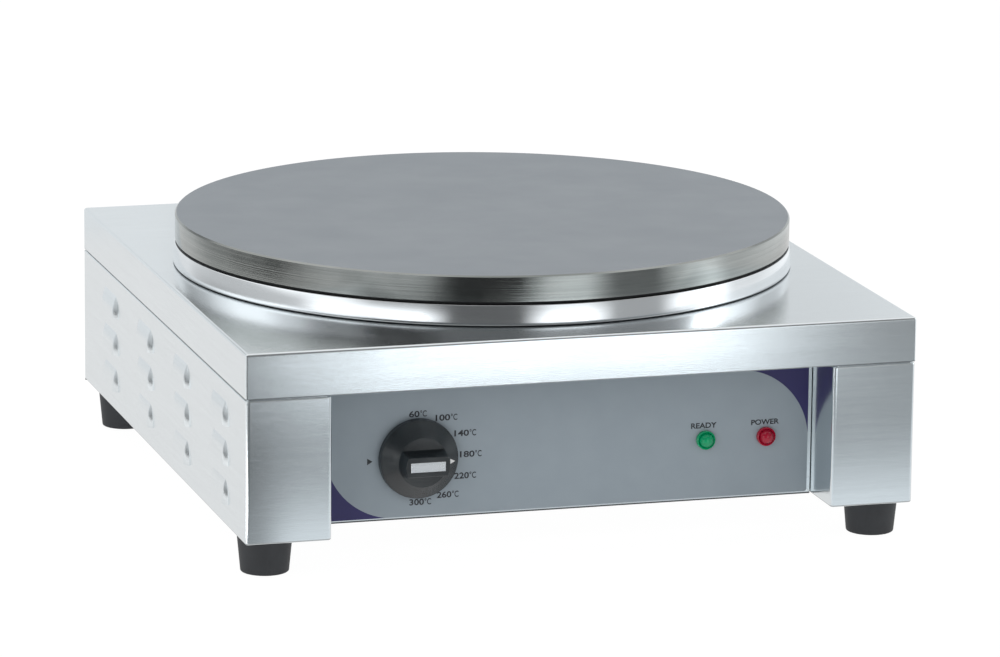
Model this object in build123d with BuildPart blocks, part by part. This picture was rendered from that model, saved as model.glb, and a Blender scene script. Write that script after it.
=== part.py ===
from build123d import *
import math
import os

# Electric crepe maker: a round cast iron plate on a square sheet metal body, in millimetres.
# +X is right and -Y is the front. The origin is on the worktop, under the middle of the whole
# machine, cable gland included. Places in X and Y below are measured from the body's own middle.

# ---- Body panels ----
cover_side = 16.0  # what shows of the top cover beside the plate
cover_front = 31.0  # what shows of it in front of the plate
cover_back = 24.0  # what shows of it behind the plate
flange_height = 28.6  # turned-down flange of the top cover
side_height = 91.2  # what shows of the body below that flange
cover_sheet = 1.0
cover_bend = 2.0
cover_corner = 1.2
cover_edge = 0.4  # rounding of the flange's lower edge
cover_gap = 0.3  # between the flange and the part of the body that stands inside it
joint_gap = 0.8  # from the flange down to the shoulder, below which the body is flush with it
shoulder_round = 0.9
sheet = 1.0  # every other body panel
fold_radius = 2.5  # outside of the upright folds
edge_fold = 1.5  # outside of the folds along the base
base_flange = 38.0  # bottom flange of a side panel, which the feet stand under
top_flange = 18.0  # top flange of a side panel, which the cover lies on
back_flange = 15.0  # upright flange of a side panel behind the back panel
post_width = 54.3
panel_flange = 12.0  # flanges of the control panel and the back panel
panel_foot = 20.0  # deeper bottom flange of the control panel
panel_round = 0.5  # of the control panel's upright edges, beside the posts
panel_fit = 0.3
panel_clear = 1.3  # between the control panel and the heat shield's lip

# ---- Louvres ----
louvre_length = 50.0
louvre_height = 15.0
louvre_rise = 2.8
louvre_round = 10.0  # radius that its two ends curve down with
louvre_columns = 4
louvre_rows = 3
louvre_front = 40.8  # from the front of the body to the first louvre
louvre_back = 55.0  # from the last louvre to the back of the body
louvre_margin = 13.2  # from a row's outer edge to the base or to the cover's flange
louvre_lift = 1.1  # of the pattern's middle over the middle of the side
back_louvre_columns = 3
back_louvre_rows = 2
back_louvre_drop = 32.0  # from the cover's flange to the middle of the back pattern

# ---- Plate and ring ----
plate_radius = 200.0
plate_thickness = 18.6
plate_web = 12.6  # thickness inside the rim
plate_rim = 12.0
plate_edge = 1.0
plate_bevel = 2.0  # of its lower edge, over the ring
ring_height = 13.5
ring_wall = 1.2
ring_head = 0.3  # of the ring's upper edge outside the plate
ring_foot = 1.4  # of its flared foot outside the plate
ring_foot_height = 10.0
ring_foot_round = 0.5
ring_lip = 11.0  # flanges of the ring, under the plate and on the cover
opening_inset = 3.0  # of the cover's opening inside the ring's flanges

# ---- Plate mounting ----
stud_d = 8.0
stud_inset = 33.0  # from the inner element's middle line out to the studs
stud_angle = 37.0  # in degrees, from straight across to a stud's own direction
stud_end = 4.0  # what shows of a stud below its nut
boss_d = 22.0
bore_fit = 0.1  # diameter over that of a screw or stud in its tapped bore
hole_fit = 1.0  # diameter over that of a stud, tube or wire in a clearance hole
spacer_wall = 3.0
stud_nut_across = 13.0
stud_nut_height = 6.5
stud_washer_d = 16.0
stud_washer_thickness = 1.6
bar_thickness = 3.0
bar_width = 30.0
bar_pad = 15.0
pad_stud_d = 5.0
pad_nut_across = 8.0
pad_nut_height = 4.0
weld_stud_length = 14.0

# ---- Heating ----
element_d = 8.0
element_gap = 0.2
element_inset = 21.0  # from the clamp disc's edge in to the outer element's middle line
element_pitch = 63.0  # between the middle lines of the two elements
element_bend = 12.0
leg_spacing = 16.0  # between the two legs of one element
leg_below = 9.0  # what shows of a leg under the heat shield
pin_d = 4.0
pin_length = 11.0
strap_width = 9.0
strap_thickness = 1.0
strap_drop = 2.0  # from the end of a leg to the strap on its pin
clamp_inset = 4.0  # of the clamp disc's edge inside the heat shield
clamp_sheet = 1.5
clamp_window = 32.0  # radius of the opening for the sensing bulb
insulation = 20.2
shield_sheet = 0.8
shield_gap = 6.0  # round the heat shield, inside the cover's opening
shield_lip = 10.0

# ---- Overheat cutout ----
cutout_x = -30.0
cutout_back = 20.0  # behind the plate's middle
cutout_pitch = 24.0  # between its rivets
cutout_ear = 5.0  # of the mounting plate past each rivet
cutout_width = 12.0
cutout_strap = 1.0
cutout_d = 16.0
cutout_case = 11.0
cutout_depth = 19.0
cutout_tab_x = 4.6
cutout_tab_width = 4.0
rivet_d = 3.0
rivet_head_d = 5.0
rivet_head = 0.8

# ---- Thermostat and its bulb ----
dial_inset = 64.5  # from the left end of the recess to the knob's middle
dial_height = 39.2  # of the knob and the lamps above the base
thermostat_size = (40.0, 36.0, 40.0)
thermostat_corner = 3.0
thermostat_screw_pitch = 28.0
thermostat_tab = 8.0
tab_x = 10.0
tab_width = 6.4
tab_thickness = 0.8
bushing_d = 10.0
shaft_d = 6.0
shaft_fit = 0.1
shaft_depth = 12.0
shaft_flat = 1.6  # from the shaft's middle to its flat
shaft_cover = 0.4  # thickness of the knob's hub over the end of the shaft
bulb_d = 6.0
bulb_length = 80.0
bulb_shift = 5.0  # the bulb's middle behind the plate's
capillary_d = 1.6
capillary_run = 15.0  # from the bulb's end to the hole that the capillary passes
capillary_drop = 19.4  # of its bend below the heat shield
capillary_knee = (-60.0, -95.0, 96.0)
capillary_entry = 16.0  # above the dial's middle
capillary_end = 27.0  # straight run into the thermostat
clip_pitch = 20.0
clip_width = 12.0
clip_thickness = 1.2

# ---- Knob ----
knob_radius = 25.2
knob_gap = 0.6  # over the overlay
knob_rim = 5.5  # height of the rim's front edge over the overlay
knob_draft = 0.2  # the rim's front edge is inside its back edge
knob_edge = 0.6  # chamfer of the rim's back edge
knob_rim_round = 0.5
hub_radius = 15.75
hub_height = 14.4
grip_height = 26.3
grip_radius = 14.0
grip_base = 16.2
grip_front = 12.4
grip_round = 0.7
knob_hollow = (21.5, 3.2)  # radius and depth of the hollow under the knob
insert_size = (22.0, 6.0)
insert_depth = 0.8
insert_proud = 0.15
insert_fit = 0.05

# ---- Overlay and lamps ----
overlay_thickness = 0.4
overlay_margin = 2.7  # at each end of the recess
overlay_bottom = 1.6  # above the base
overlay_drop = 7.6  # below the cover's flange
overlay_corner = 1.5
lamp_inset = 30.9  # from the right end of the recess to the red lamp's middle
lamp_pitch = 40.0
lamp_radius = 6.0
lamp_collar = 3.0
lens_radius = 4.5
lens_height = 6.6
lens_chamfer = 0.5
lamp_shank = 10.0
lamp_body_length = 24.0
lamp_tag = 7.0
tag_x = 2.5
tag_width = 2.8
lamp_nut_d = 16.0
lamp_nut_thickness = 1.6

# ---- Feet ----
foot_height = 23.0
foot_top_radius = 17.2
foot_bottom_radius = 15.0
foot_from_side = 18.4
foot_from_front = 25.9
foot_from_back = 41.3
foot_pocket_d = 15.0
foot_pocket = 11.0
foot_round = 1.0
foot_screw_d = 6.0
foot_screw_head_d = 11.0
foot_screw_head = 4.0
foot_screw_end = 7.0  # what a foot's screw stands over the floor
foot_nut_across = 10.0
foot_nut_height = 5.0
foot_washer_thickness = 1.5

# ---- Mains entry ----
gland_inset = 51.0  # from the outside of the right panel
gland_z = 27.0  # above the base
gland_thread = 20.0
gland_hex = 24.0
gland_hex_length = 6.0
gland_cap_length = 13.0
gland_tail = 9.0
gland_passage = 13.0
gland_taper = 12.0  # degrees, of the cap's rounded end
gland_seal_inset = 2.0  # of the seal's end inside the cap
cord_bore = 9.0
locknut_across = 26.0
locknut_thickness = 5.0
block_size = (46.0, 22.0, 18.0)
block_corner = 1.5
block_from_side = 96.0  # from the outside of the right panel to the block's middle
block_from_back = 61.2  # from the outside of the back panel to the block's middle
terminal_head_d = 6.0
terminal_head = 1.6
block_head_d = 7.0
block_head = 2.0
earth_from_block = (50.0, 25.0)  # of the earth stud to the left of the block and behind it
earth_d = 5.0
earth_length = 16.0
earth_nut_across = 8.0
earth_nut_height = 4.0
lug_thickness = 1.0
lug_d = 12.0

# ---- Leads: the straight runs out of their ends, and the points that they pass between ----
lead_d = 2.6
lead_bend = 22.0  # the largest bend radius of a lead
bend_share = 0.42  # of the shorter run, which one bend may take up
entry_rises = (5.5, 11.0, 15.0)  # where leads enter the terminal block, above the floor
tab_run = 34.0  # behind a tab of the thermostat
pin_run = 20.0  # below a pin of an element or a tab of the cutout
live_run = 36.0
live_knee = (40.0, 30.0, 29.0)
live_slope = (74.0, 14.0)  # behind the thermostat's tab and below it
neutral_run = 30.0
neutral_knee = (6.0, 60.0, 50.0)  # the first is to the left of the element's pin
switched_knee = (-80.0, -40.0, 70.0)
heater_knee = (60.0, 30.0, 86.0)
lamp_entry = (27.0, 8.0)  # behind the thermostat and above the dial's middle
ready_run = 22.0
ready_knee = (0.0, -112.0, 72.2)
return_runs = (37.0, 44.0)  # behind the green lamp and in front of the block
return_knee = (100.0, 20.0, 56.0)
power_runs = (37.0, 54.0)  # behind the red lamp and in front of the block
power_knee = (112.0, 0.0, 36.0)
common_runs = (42.0, 39.0)  # behind the red lamp and in front of the block
common_knee = (134.0, 30.0, 44.0)
beside_pole = 3.0  # from the middle of a pole to a second lead in it
earth_run = 18.0
earth_knee = (30.0, 24.0, 3.0)  # left of the pole, behind the block and above the lug

# ---- Screws and nuts ----
screw_d = 4.0
screw_length = 9.0
screw_head_d = 8.0
screw_head = 2.4
short_screw_length = 8.0
short_screw_head_d = 7.0
short_screw_head = 2.0
head_round = 0.45  # of a head's height
cross_reach = 0.55  # of a head's diameter
cross_width = 0.13  # of a head's diameter
cross_depth = 0.55  # of a head's height
nut_corner = 0.56  # radius that rounds off a nut's corners, over its size across flats
nut_taper = 2.0  # degrees
side_screw_pitch = 110.0
floor_screw_x = 100.0
back_screw_rises = (14.0, 47.0, 80.0)  # above the base

# ---- Vent slots in the floor ----
slot_length = 46.0
slot_width = 5.0
slot_pitch = 12.0
slot_count = 7
slot_side = 85.0

# ---- Levels and lines that follow ----
plate_offset = (cover_front - cover_back) / 2
cover_width = 2 * (plate_radius + cover_side)
cover_depth = 2 * plate_radius + cover_front + cover_back
ring_inside = plate_radius - ring_lip
cover_opening = ring_inside - opening_inset
shield_radius = cover_opening - shield_gap
clamp_radius = shield_radius - clamp_inset
outer_element = clamp_radius - element_inset
inner_element = outer_element - element_pitch
stud_x = (inner_element + stud_inset) * math.cos(math.radians(stud_angle))
stud_y = (inner_element + stud_inset) * math.sin(math.radians(stud_angle))

base_z = foot_height
flange_z = base_z + side_height
cover_top = flange_z + flange_height
cover_under = cover_top - cover_sheet
ring_top = cover_top + ring_height
plate_top = ring_top + plate_thickness
web_under = plate_top - plate_web
element_z = web_under - element_gap - element_d / 2
clamp_top = element_z - element_d / 2 - element_gap
clamp_under = clamp_top - clamp_sheet
shield_floor = clamp_under - insulation
shield_under = shield_floor - shield_sheet
bar_under = shield_under - bar_thickness
floor_top = base_z + 2 * sheet

half_width = cover_width / 2 - cover_sheet - cover_gap
back_y = cover_depth / 2 - cover_sheet - cover_gap
front_y = -back_y
side_x = cover_width / 2
shoulder_z = flange_z - joint_gap
recess_half = side_x - post_width
panel_back = plate_offset - shield_radius - shield_lip - panel_clear
panel_y = panel_back - sheet
overlay_y = panel_y - overlay_thickness
floor_front = panel_y + panel_flange + panel_fit
inside_back = back_y - 2 * sheet
dial_x = dial_inset - recess_half
dial_z = base_z + dial_height
red_x = recess_half - lamp_inset
green_x = red_x - lamp_pitch
overlay_half = recess_half - overlay_margin
overlay_height = side_height - overlay_bottom - overlay_drop
louvre_middle_y = (louvre_front - louvre_back) / 2
louvre_pitch = (back_y - front_y - louvre_front - louvre_back - louvre_length) / (louvre_columns - 1)
louvre_row_pitch = (side_height - 2 * louvre_margin - louvre_height) / (louvre_rows - 1)
gland_x = side_x - gland_inset
block_place = (side_x - block_from_side, back_y - block_from_back)
earth_place = (block_place[0] - earth_from_block[0], block_place[1] + earth_from_block[1])
floor_edge_y = back_y - panel_flange / 2 - sheet
floor_lip_y = panel_y + panel_foot - screw_d
cutout_place = (cutout_x, plate_offset + cutout_back)
pole_pitch = block_size[0] / 3
gland_height = base_z + gland_z
gland_reach = gland_hex_length + gland_cap_length

# The body's middle stands in front of the origin, so that the gland is inside equal halves.
mid_y = -(gland_reach + back_y - cover_depth / 2) / 2
stud_places = [(x, y + plate_offset) for x in (-stud_x, stud_x) for y in (-stud_y, stud_y)]


# ---- Planes and simple shapes ----
def level(z, x=0.0, y=0.0):
    """The level plane at height z, its origin at x and y."""
    return Plane(origin=(x, mid_y + y, z))


def facing_front(y, x=0.0, z=0.0):
    """An upright plane that looks to the front, its own y axis up."""
    return Plane(origin=(x, mid_y + y, z), x_dir=(1, 0, 0), z_dir=(0, -1, 0))


def facing_back(y, x=0.0, z=0.0):
    """An upright plane that looks to the back, its own y axis up."""
    return Plane(origin=(x, mid_y + y, z), x_dir=(-1, 0, 0), z_dir=(0, 1, 0))


def facing_left(x, y=0.0, z=0.0):
    """An upright plane that looks to the left, its own y axis up."""
    return Plane(origin=(x, mid_y + y, z), x_dir=(0, -1, 0), z_dir=(-1, 0, 0))


def block(x, y, z, mode=Mode.ADD):
    """A box between two values on each axis."""
    with Locations((sum(x) / 2, mid_y + sum(y) / 2, sum(z) / 2)):
        Box(x[1] - x[0], y[1] - y[0], z[1] - z[0], mode=mode)


def rod(place, z, diameter, mode=Mode.ADD):
    """An upright cylinder between two heights."""
    with Locations((place[0], mid_y + place[1], sum(z) / 2)):
        Cylinder(diameter / 2, z[1] - z[0], mode=mode)


def point(x, y, z):
    """A point of the body in the machine's frame."""
    return Vector(x, mid_y + y, z)


# ---- Standard pieces, each along its own +Z from the face that it seats on ----
def pan_screw(shank, length, head, head_height):
    """A pan head screw: the shank goes up from the seat, the head hangs below it."""
    with BuildPart() as screw:
        with BuildSketch(Plane.XY):
            Circle(shank / 2)
        extrude(amount=length)
        chamfer(screw.edges().sort_by(Axis.Z)[-1], shank / 8)
        with BuildSketch(Plane.XY):
            Circle(head / 2)
        extrude(amount=-head_height)
        fillet(screw.edges().sort_by(Axis.Z)[0], head_height * head_round)
        with BuildSketch(Plane.XY.offset(-head_height)):
            Rectangle(head * cross_reach, head * cross_width)
            Rectangle(head * cross_width, head * cross_reach)
        extrude(amount=head_height * cross_depth, mode=Mode.SUBTRACT)
    return screw.part


def hex_nut(thread, across, height):
    """A hexagon nut with its bore."""
    with BuildPart() as nut:
        with BuildSketch(Plane.XY):
            RegularPolygon(across / 2, 6, major_radius=False)
            Circle((thread + bore_fit) / 2, mode=Mode.SUBTRACT)
        extrude(amount=height)
        with BuildSketch(Plane.XY):
            Circle(across * nut_corner)
        extrude(amount=height, taper=-nut_taper, mode=Mode.INTERSECT)
    return nut.part


def washer(bore, outside, height):
    """A flat washer."""
    with BuildPart() as ring:
        with BuildSketch(Plane.XY):
            Circle(outside / 2)
            Circle(bore / 2, mode=Mode.SUBTRACT)
        extrude(amount=height)
    return ring.part


def louvre_hood(length, height, rise, round_over):
    """A louvre's hood, raised along +Z: flush at its top and its ends, open at its bottom."""
    crown_radius = (height**2 + rise**2) / (2 * rise)
    with BuildPart() as hood:
        with Locations((0, -height / 2, rise - crown_radius)):
            Cylinder(crown_radius, length, rotation=(0, 90, 0))
        fillet(hood.edges().filter_by(GeomType.CIRCLE), round_over)
        with BuildSketch(Plane.XY):
            Rectangle(length, height)
        extrude(amount=rise, mode=Mode.INTERSECT)
    return hood.part


def level_places(places, z):
    """Upright locations at a height."""
    return [level(z, x, y).location for x, y in places]


# ---- Louvres: the hood outside and the hollow under it ----
louvre_outside = louvre_hood(louvre_length, louvre_height, louvre_rise, louvre_round)
louvre_inside = louvre_hood(louvre_length - 2 * sheet, louvre_height, louvre_rise, louvre_round - sheet)

# ---- Top cover ----
cover_stud_places = [
    (side * (half_width - top_flange / 2), y)
    for side in (-1, 1)
    for y in (plate_offset - stud_y, plate_offset + stud_y)
]
with BuildPart() as top_cover:
    with BuildSketch(level(flange_z)):
        Rectangle(cover_width, cover_depth)
    extrude(amount=flange_height)
    fillet(top_cover.edges().filter_by(Axis.Z), cover_corner)
    fillet(top_cover.faces().sort_by(Axis.Z)[-1].edges(), cover_bend)
    fillet(top_cover.faces().sort_by(Axis.Z)[0].edges(), cover_edge)
    with BuildSketch(level(flange_z)):
        Rectangle(cover_width - 2 * cover_sheet, cover_depth - 2 * cover_sheet)
    extrude(amount=flange_height - cover_sheet, mode=Mode.SUBTRACT)
    rod((0, plate_offset), (cover_under, cover_top), 2 * cover_opening, Mode.SUBTRACT)
    for place in cover_stud_places:
        rod(place, (cover_under - weld_stud_length, cover_under), pad_stud_d)

# ---- Side panels: side, post, the post's inner wall and the flanges, folded from one sheet ----
side_back = back_y - sheet
post_back = panel_y + panel_flange
louvre_face = facing_left(-side_x, louvre_middle_y, base_z + side_height / 2 + louvre_lift)
front_foot_y = foot_from_front - cover_depth / 2
back_foot_y = cover_depth / 2 - foot_from_back
foot_x = cover_width / 2 - foot_from_side
side_screw_x = half_width - base_flange / 2
side_screw_ys = (-side_screw_pitch, 0.0, side_screw_pitch)
back_screw_x = half_width - back_flange / 2
back_screw_zs = [base_z + rise for rise in back_screw_rises]

shoulder_step = side_x - half_width


def side_plan(z, inset, wall=0.0):
    """The plan of a side panel with its outer faces moved in, or of the room inside its wall."""
    side_edge = inset + wall - side_x
    front_edge = inset + wall - cover_depth / 2
    post_edge = -recess_half - inset - wall
    flange_edge = base_flange + wall - half_width
    back_edge = side_back - wall
    post_end = post_back + wall
    with BuildSketch(level(z)) as plan:
        with Locations(((side_edge + flange_edge) / 2, (front_edge + back_edge) / 2)):
            Rectangle(flange_edge - side_edge, back_edge - front_edge)
        with Locations(((side_edge + post_edge) / 2, (front_edge + post_end) / 2)):
            Rectangle(post_edge - side_edge, post_end - front_edge)
        fillet(plan.vertices().group_by(Axis.Y)[0], fold_radius - wall)
    return plan.sketch


with BuildPart() as left_side_panel:
    add(side_plan(base_z, 0))
    extrude(amount=shoulder_z - base_z)
    outer_base = left_side_panel.faces().sort_by(Axis.Z)[0].edges()
    along_side = outer_base.sort_by(Axis.X)[0]
    along_front = outer_base.sort_by(Axis.Y)[0]
    fillet([along_side, along_front], edge_fold)
    shoulder = left_side_panel.faces().sort_by(Axis.Z)[-1].edges()
    front_and_post = shoulder.sort_by(Axis.Y)[:4]
    fillet([shoulder.sort_by(Axis.X)[0], *front_and_post], shoulder_round)
    add(side_plan(shoulder_z, shoulder_step))
    extrude(amount=cover_under - shoulder_z)
    add(side_plan(base_z + sheet, 0, sheet))
    extrude(amount=shoulder_z - base_z - 2 * sheet, mode=Mode.SUBTRACT)
    add(side_plan(shoulder_z - sheet, shoulder_step, sheet))
    extrude(amount=cover_under - shoulder_z, mode=Mode.SUBTRACT)
    block(
        (-half_width + top_flange, -recess_half - shoulder_step - sheet),
        (front_y + top_flange, back_y),
        (cover_under - 2 * sheet, cover_under),
        Mode.SUBTRACT,
    )
    block(
        (-half_width + back_flange, -half_width + base_flange + sheet),
        (side_back - sheet, back_y),
        (base_z + sheet, cover_under - sheet),
        Mode.SUBTRACT,
    )
    with Locations(louvre_face):
        with GridLocations(louvre_pitch, louvre_row_pitch, louvre_columns, louvre_rows):
            add(louvre_outside)
            with Locations((0, 0, -sheet)):
                add(louvre_inside, mode=Mode.SUBTRACT)
    for y in (front_foot_y, back_foot_y):
        rod((-foot_x, y), (base_z, base_z + sheet), foot_screw_d + hole_fit, Mode.SUBTRACT)
    for y in side_screw_ys:
        rod((-side_screw_x, y), (base_z, base_z + sheet), screw_d + bore_fit, Mode.SUBTRACT)
    for place in cover_stud_places[:2]:
        rod(place, (cover_under - sheet, cover_under), pad_stud_d + hole_fit, Mode.SUBTRACT)
    with Locations(*[facing_back(side_back, -back_screw_x, z) for z in back_screw_zs]):
        Hole((screw_d + bore_fit) / 2, depth=2 * sheet)

with BuildPart() as right_side_panel:
    add(left_side_panel.part)
    mirror(about=Plane.YZ, mode=Mode.REPLACE)

# ---- Back panel ----
with BuildPart() as back_panel:
    block((-side_x, side_x), (side_back, back_y), (base_z, shoulder_z))
    block((-half_width, half_width), (side_back, back_y), (shoulder_z, cover_under))
    inner_half = half_width - base_flange - panel_fit
    for z in ((base_z, base_z + sheet), (cover_under - sheet, cover_under)):
        block((-inner_half, inner_half), (back_y - panel_flange, side_back), z)
    with Locations(facing_back(back_y, 0, flange_z - back_louvre_drop)):
        with GridLocations(louvre_pitch, louvre_row_pitch, back_louvre_columns, back_louvre_rows):
            add(louvre_outside)
            with Locations((0, 0, -sheet)):
                add(louvre_inside, mode=Mode.SUBTRACT)
    with Locations(facing_back(back_y, gland_x, gland_height)):
        Hole((gland_thread + hole_fit) / 2, depth=sheet)
    back_screw_places = [(side * back_screw_x, z) for side in (-1, 1) for z in back_screw_zs]
    with Locations(*[facing_back(back_y, x, z) for x, z in back_screw_places]):
        Hole((screw_d + hole_fit) / 2, depth=sheet)
    for x in (-floor_screw_x, floor_screw_x):
        rod((x, floor_edge_y), (base_z, base_z + sheet), screw_d + bore_fit, Mode.SUBTRACT)

# ---- Control panel ----
panel_half = recess_half - panel_fit
with BuildPart() as control_panel:
    block((-panel_half, panel_half), (panel_y, panel_y + panel_flange), (base_z, cover_under))
    upright = control_panel.edges().filter_by(Axis.Z).group_by(Axis.Y)[0]
    fillet(upright, panel_round)
    block(
        (sheet - panel_half, panel_half - sheet),
        (panel_back, panel_y + panel_flange),
        (base_z + sheet, cover_under),
        Mode.SUBTRACT,
    )
    block(
        (sheet - panel_half, panel_half - sheet),
        (panel_back, panel_y + panel_foot),
        (base_z, base_z + sheet),
    )
    with Locations(facing_front(panel_y, dial_x, dial_z)):
        Hole((bushing_d + hole_fit) / 2, depth=sheet)
        with GridLocations(1, thermostat_screw_pitch, 1, 2):
            Hole((screw_d + bore_fit) / 2, depth=sheet)
    with Locations(*[facing_front(panel_y, x, dial_z) for x in (green_x, red_x)]):
        Hole((lamp_shank + panel_fit) / 2, depth=sheet)
    for x in (-floor_screw_x, floor_screw_x):
        rod((x, floor_lip_y), (base_z, base_z + sheet), screw_d + bore_fit, Mode.SUBTRACT)

# ---- Overlay on the control panel ----
overlay_middle = base_z + overlay_bottom + overlay_height / 2
with BuildPart() as panel_overlay:
    with BuildSketch(facing_front(panel_y, 0, overlay_middle)):
        RectangleRounded(2 * overlay_half, overlay_height, overlay_corner)
        with Locations((dial_x, dial_z - overlay_middle)):
            Circle((bushing_d + hole_fit) / 2, mode=Mode.SUBTRACT)
            with GridLocations(1, thermostat_screw_pitch, 1, 2):
                Circle((screw_head_d + hole_fit) / 2, mode=Mode.SUBTRACT)
        with Locations(*[(x, dial_z - overlay_middle) for x in (green_x, red_x)]):
            Circle((lamp_shank + panel_fit) / 2, mode=Mode.SUBTRACT)
    extrude(amount=overlay_thickness)

# ---- Bottom panel: the floor, with its vent slots and the welded earth stud ----
floor_half = side_x - sheet - panel_fit
floor_screw_places = [(x, y) for x in (-side_screw_x, side_screw_x) for y in side_screw_ys]
floor_screw_places += [
    (x, y) for x in (-floor_screw_x, floor_screw_x) for y in (floor_lip_y, floor_edge_y)
]
with BuildPart() as bottom_panel:
    block((-floor_half, floor_half), (floor_front, inside_back - panel_fit), (base_z + sheet, floor_top))
    for x in (-slot_side, slot_side):
        with BuildSketch(level(base_z, x)):
            with GridLocations(1, slot_pitch, 1, slot_count):
                SlotOverall(slot_length, slot_width)
        extrude(amount=3 * sheet, mode=Mode.SUBTRACT)
    for x in (-foot_x, foot_x):
        rod((x, back_foot_y), (base_z, floor_top), foot_screw_d + hole_fit, Mode.SUBTRACT)
    for place in floor_screw_places:
        rod(place, (base_z, floor_top), screw_d + bore_fit, Mode.SUBTRACT)
    for x in (-pole_pitch / 2, pole_pitch / 2):
        place = (block_place[0] + x, block_place[1])
        rod(place, (base_z, floor_top), screw_d + bore_fit, Mode.SUBTRACT)
    rod(earth_place, (floor_top, floor_top + earth_length), earth_d)

# ---- Panel screws ----
panel_screw = pan_screw(screw_d, screw_length, screw_head_d, screw_head)
with BuildPart() as base_screws:
    with Locations(*level_places(floor_screw_places, base_z)):
        add(panel_screw)

with BuildPart() as back_screws:
    with Locations(*[facing_front(back_y, x, z) for x, z in back_screw_places]):
        add(panel_screw)

# ---- Cover nuts, which hold the cover, the side panels and the crossbars together ----
bar_pad_under = cover_under - sheet - bar_thickness
pad_nut = hex_nut(pad_stud_d, pad_nut_across, pad_nut_height)
with BuildPart() as cover_nuts:
    with Locations(*level_places(cover_stud_places, bar_pad_under - pad_nut_height)):
        add(pad_nut)

# ---- Crossbars under the heat shield ----
bar_top_profile = [
    (half_width - sheet - panel_fit, cover_under - sheet),
    (half_width - sheet - panel_fit - bar_pad, cover_under - sheet),
    (half_width - sheet - panel_fit - bar_pad - (cover_under - sheet - shield_under), shield_under),
]


def crossbar(y):
    """A flat bar across the machine, its ends joggled up to the side panels' flanges."""
    half_top = bar_top_profile + [(-x, z) for x, z in reversed(bar_top_profile)]
    half_under = [(x, z - bar_thickness) for x, z in reversed(half_top)]
    with BuildPart() as bar:
        with BuildSketch(facing_front(y + bar_width / 2)):
            with BuildLine():
                Polyline(*half_top, *half_under, close=True)
            make_face()
        extrude(amount=bar_width)
        for x in (-stud_x, stud_x):
            rod((x, y), (bar_under, shield_under), stud_d + hole_fit, Mode.SUBTRACT)
        for x in (-1, 1):
            place = (x * (half_width - top_flange / 2), y)
            rod(place, (bar_pad_under, cover_under), pad_stud_d + hole_fit, Mode.SUBTRACT)
    return bar


front_crossbar = crossbar(plate_offset - stud_y)
rear_crossbar = crossbar(plate_offset + stud_y)

# ---- Ring under the plate ----
foot_edge = plate_radius + ring_foot
wall_edge = plate_radius + ring_head
with BuildPart() as plate_ring:
    with BuildSketch(facing_front(plate_offset)) as profile:
        with BuildLine():
            Polyline(
                (foot_edge, cover_top),
                (foot_edge, cover_top + ring_wall),
                (wall_edge, cover_top + ring_foot_height),
                (wall_edge, ring_top),
                (ring_inside, ring_top),
                (ring_inside, ring_top - ring_wall),
                (wall_edge - ring_wall, ring_top - ring_wall),
                (wall_edge - ring_wall, cover_top + ring_foot_height),
                (foot_edge - ring_wall, cover_top + ring_wall),
                (ring_inside, cover_top + ring_wall),
                (ring_inside, cover_top),
                close=True,
            )
        make_face()
        fillet(profile.vertices().group_by(Axis.X)[-1], ring_foot_round)
    revolve(axis=Axis((0, mid_y + plate_offset, 0), (0, 0, 1)))

# ---- Griddle plate: rim, web, stud bosses and the two bosses of the bulb clip ----
clip_top = web_under - element_gap - bulb_d - element_gap
bulb_places = [(x, plate_offset + bulb_shift) for x in (-clip_pitch / 2, clip_pitch / 2)]
with BuildPart() as griddle_plate:
    rod((0, plate_offset), (ring_top, plate_top), 2 * plate_radius)
    round_edges = griddle_plate.edges().filter_by(GeomType.CIRCLE).sort_by(Axis.Z)
    chamfer(round_edges[-1], plate_edge)
    chamfer(round_edges[0], plate_bevel)
    rod((0, plate_offset), (ring_top, web_under), 2 * (plate_radius - plate_rim), Mode.SUBTRACT)
    for place in stud_places:
        rod(place, (clamp_top, web_under), boss_d)
        rod(place, (clamp_top, web_under + plate_web / 2), stud_d + bore_fit, Mode.SUBTRACT)
    for place in bulb_places:
        rod(place, (clip_top, web_under), 2 * screw_d)
        rod(place, (clip_top, web_under + plate_web / 4), screw_d + bore_fit, Mode.SUBTRACT)

# ---- Plate studs, spacers, washers and nuts ----
stud_washer = washer(stud_d + hole_fit, stud_washer_d, stud_washer_thickness)
stud_nut = hex_nut(stud_d, stud_nut_across, stud_nut_height)
washer_under = bar_under - stud_washer_thickness
stud_nut_under = washer_under - stud_nut_height
stud_foot = stud_nut_under - stud_end
with BuildPart() as plate_studs:
    for place in stud_places:
        rod(place, (stud_foot, web_under + plate_web / 2 - bore_fit), stud_d)

spacer_d = stud_d + hole_fit + 2 * spacer_wall
with BuildPart() as stud_spacers:
    for place in stud_places:
        rod(place, (shield_floor, clamp_under), spacer_d)
        rod(place, (shield_floor, clamp_under), stud_d + hole_fit, Mode.SUBTRACT)

with BuildPart() as stud_washers:
    with Locations(*level_places(stud_places, washer_under)):
        add(stud_washer)

with BuildPart() as stud_nuts:
    with Locations(*level_places(stud_places, stud_nut_under)):
        add(stud_nut)

# ---- Tubular heating elements: nearly whole rings with two legs turned down ----
leg_foot = shield_under - leg_below


def element_ends(radius):
    """Where each end of the ring stops, and where its leg stands, on the level."""
    side = leg_spacing / 2 + element_bend
    along = math.sqrt(radius**2 - side**2)
    turn = math.atan2(side, along)
    ends = []
    for sign in (1, -1):
        ring_end = (along, sign * side)
        toward = (math.sin(turn), -sign * math.cos(turn))
        leg = (ring_end[0] + element_bend * toward[0], ring_end[1] + element_bend * toward[1])
        ends.append((ring_end, toward, leg))
    return ends


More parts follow.
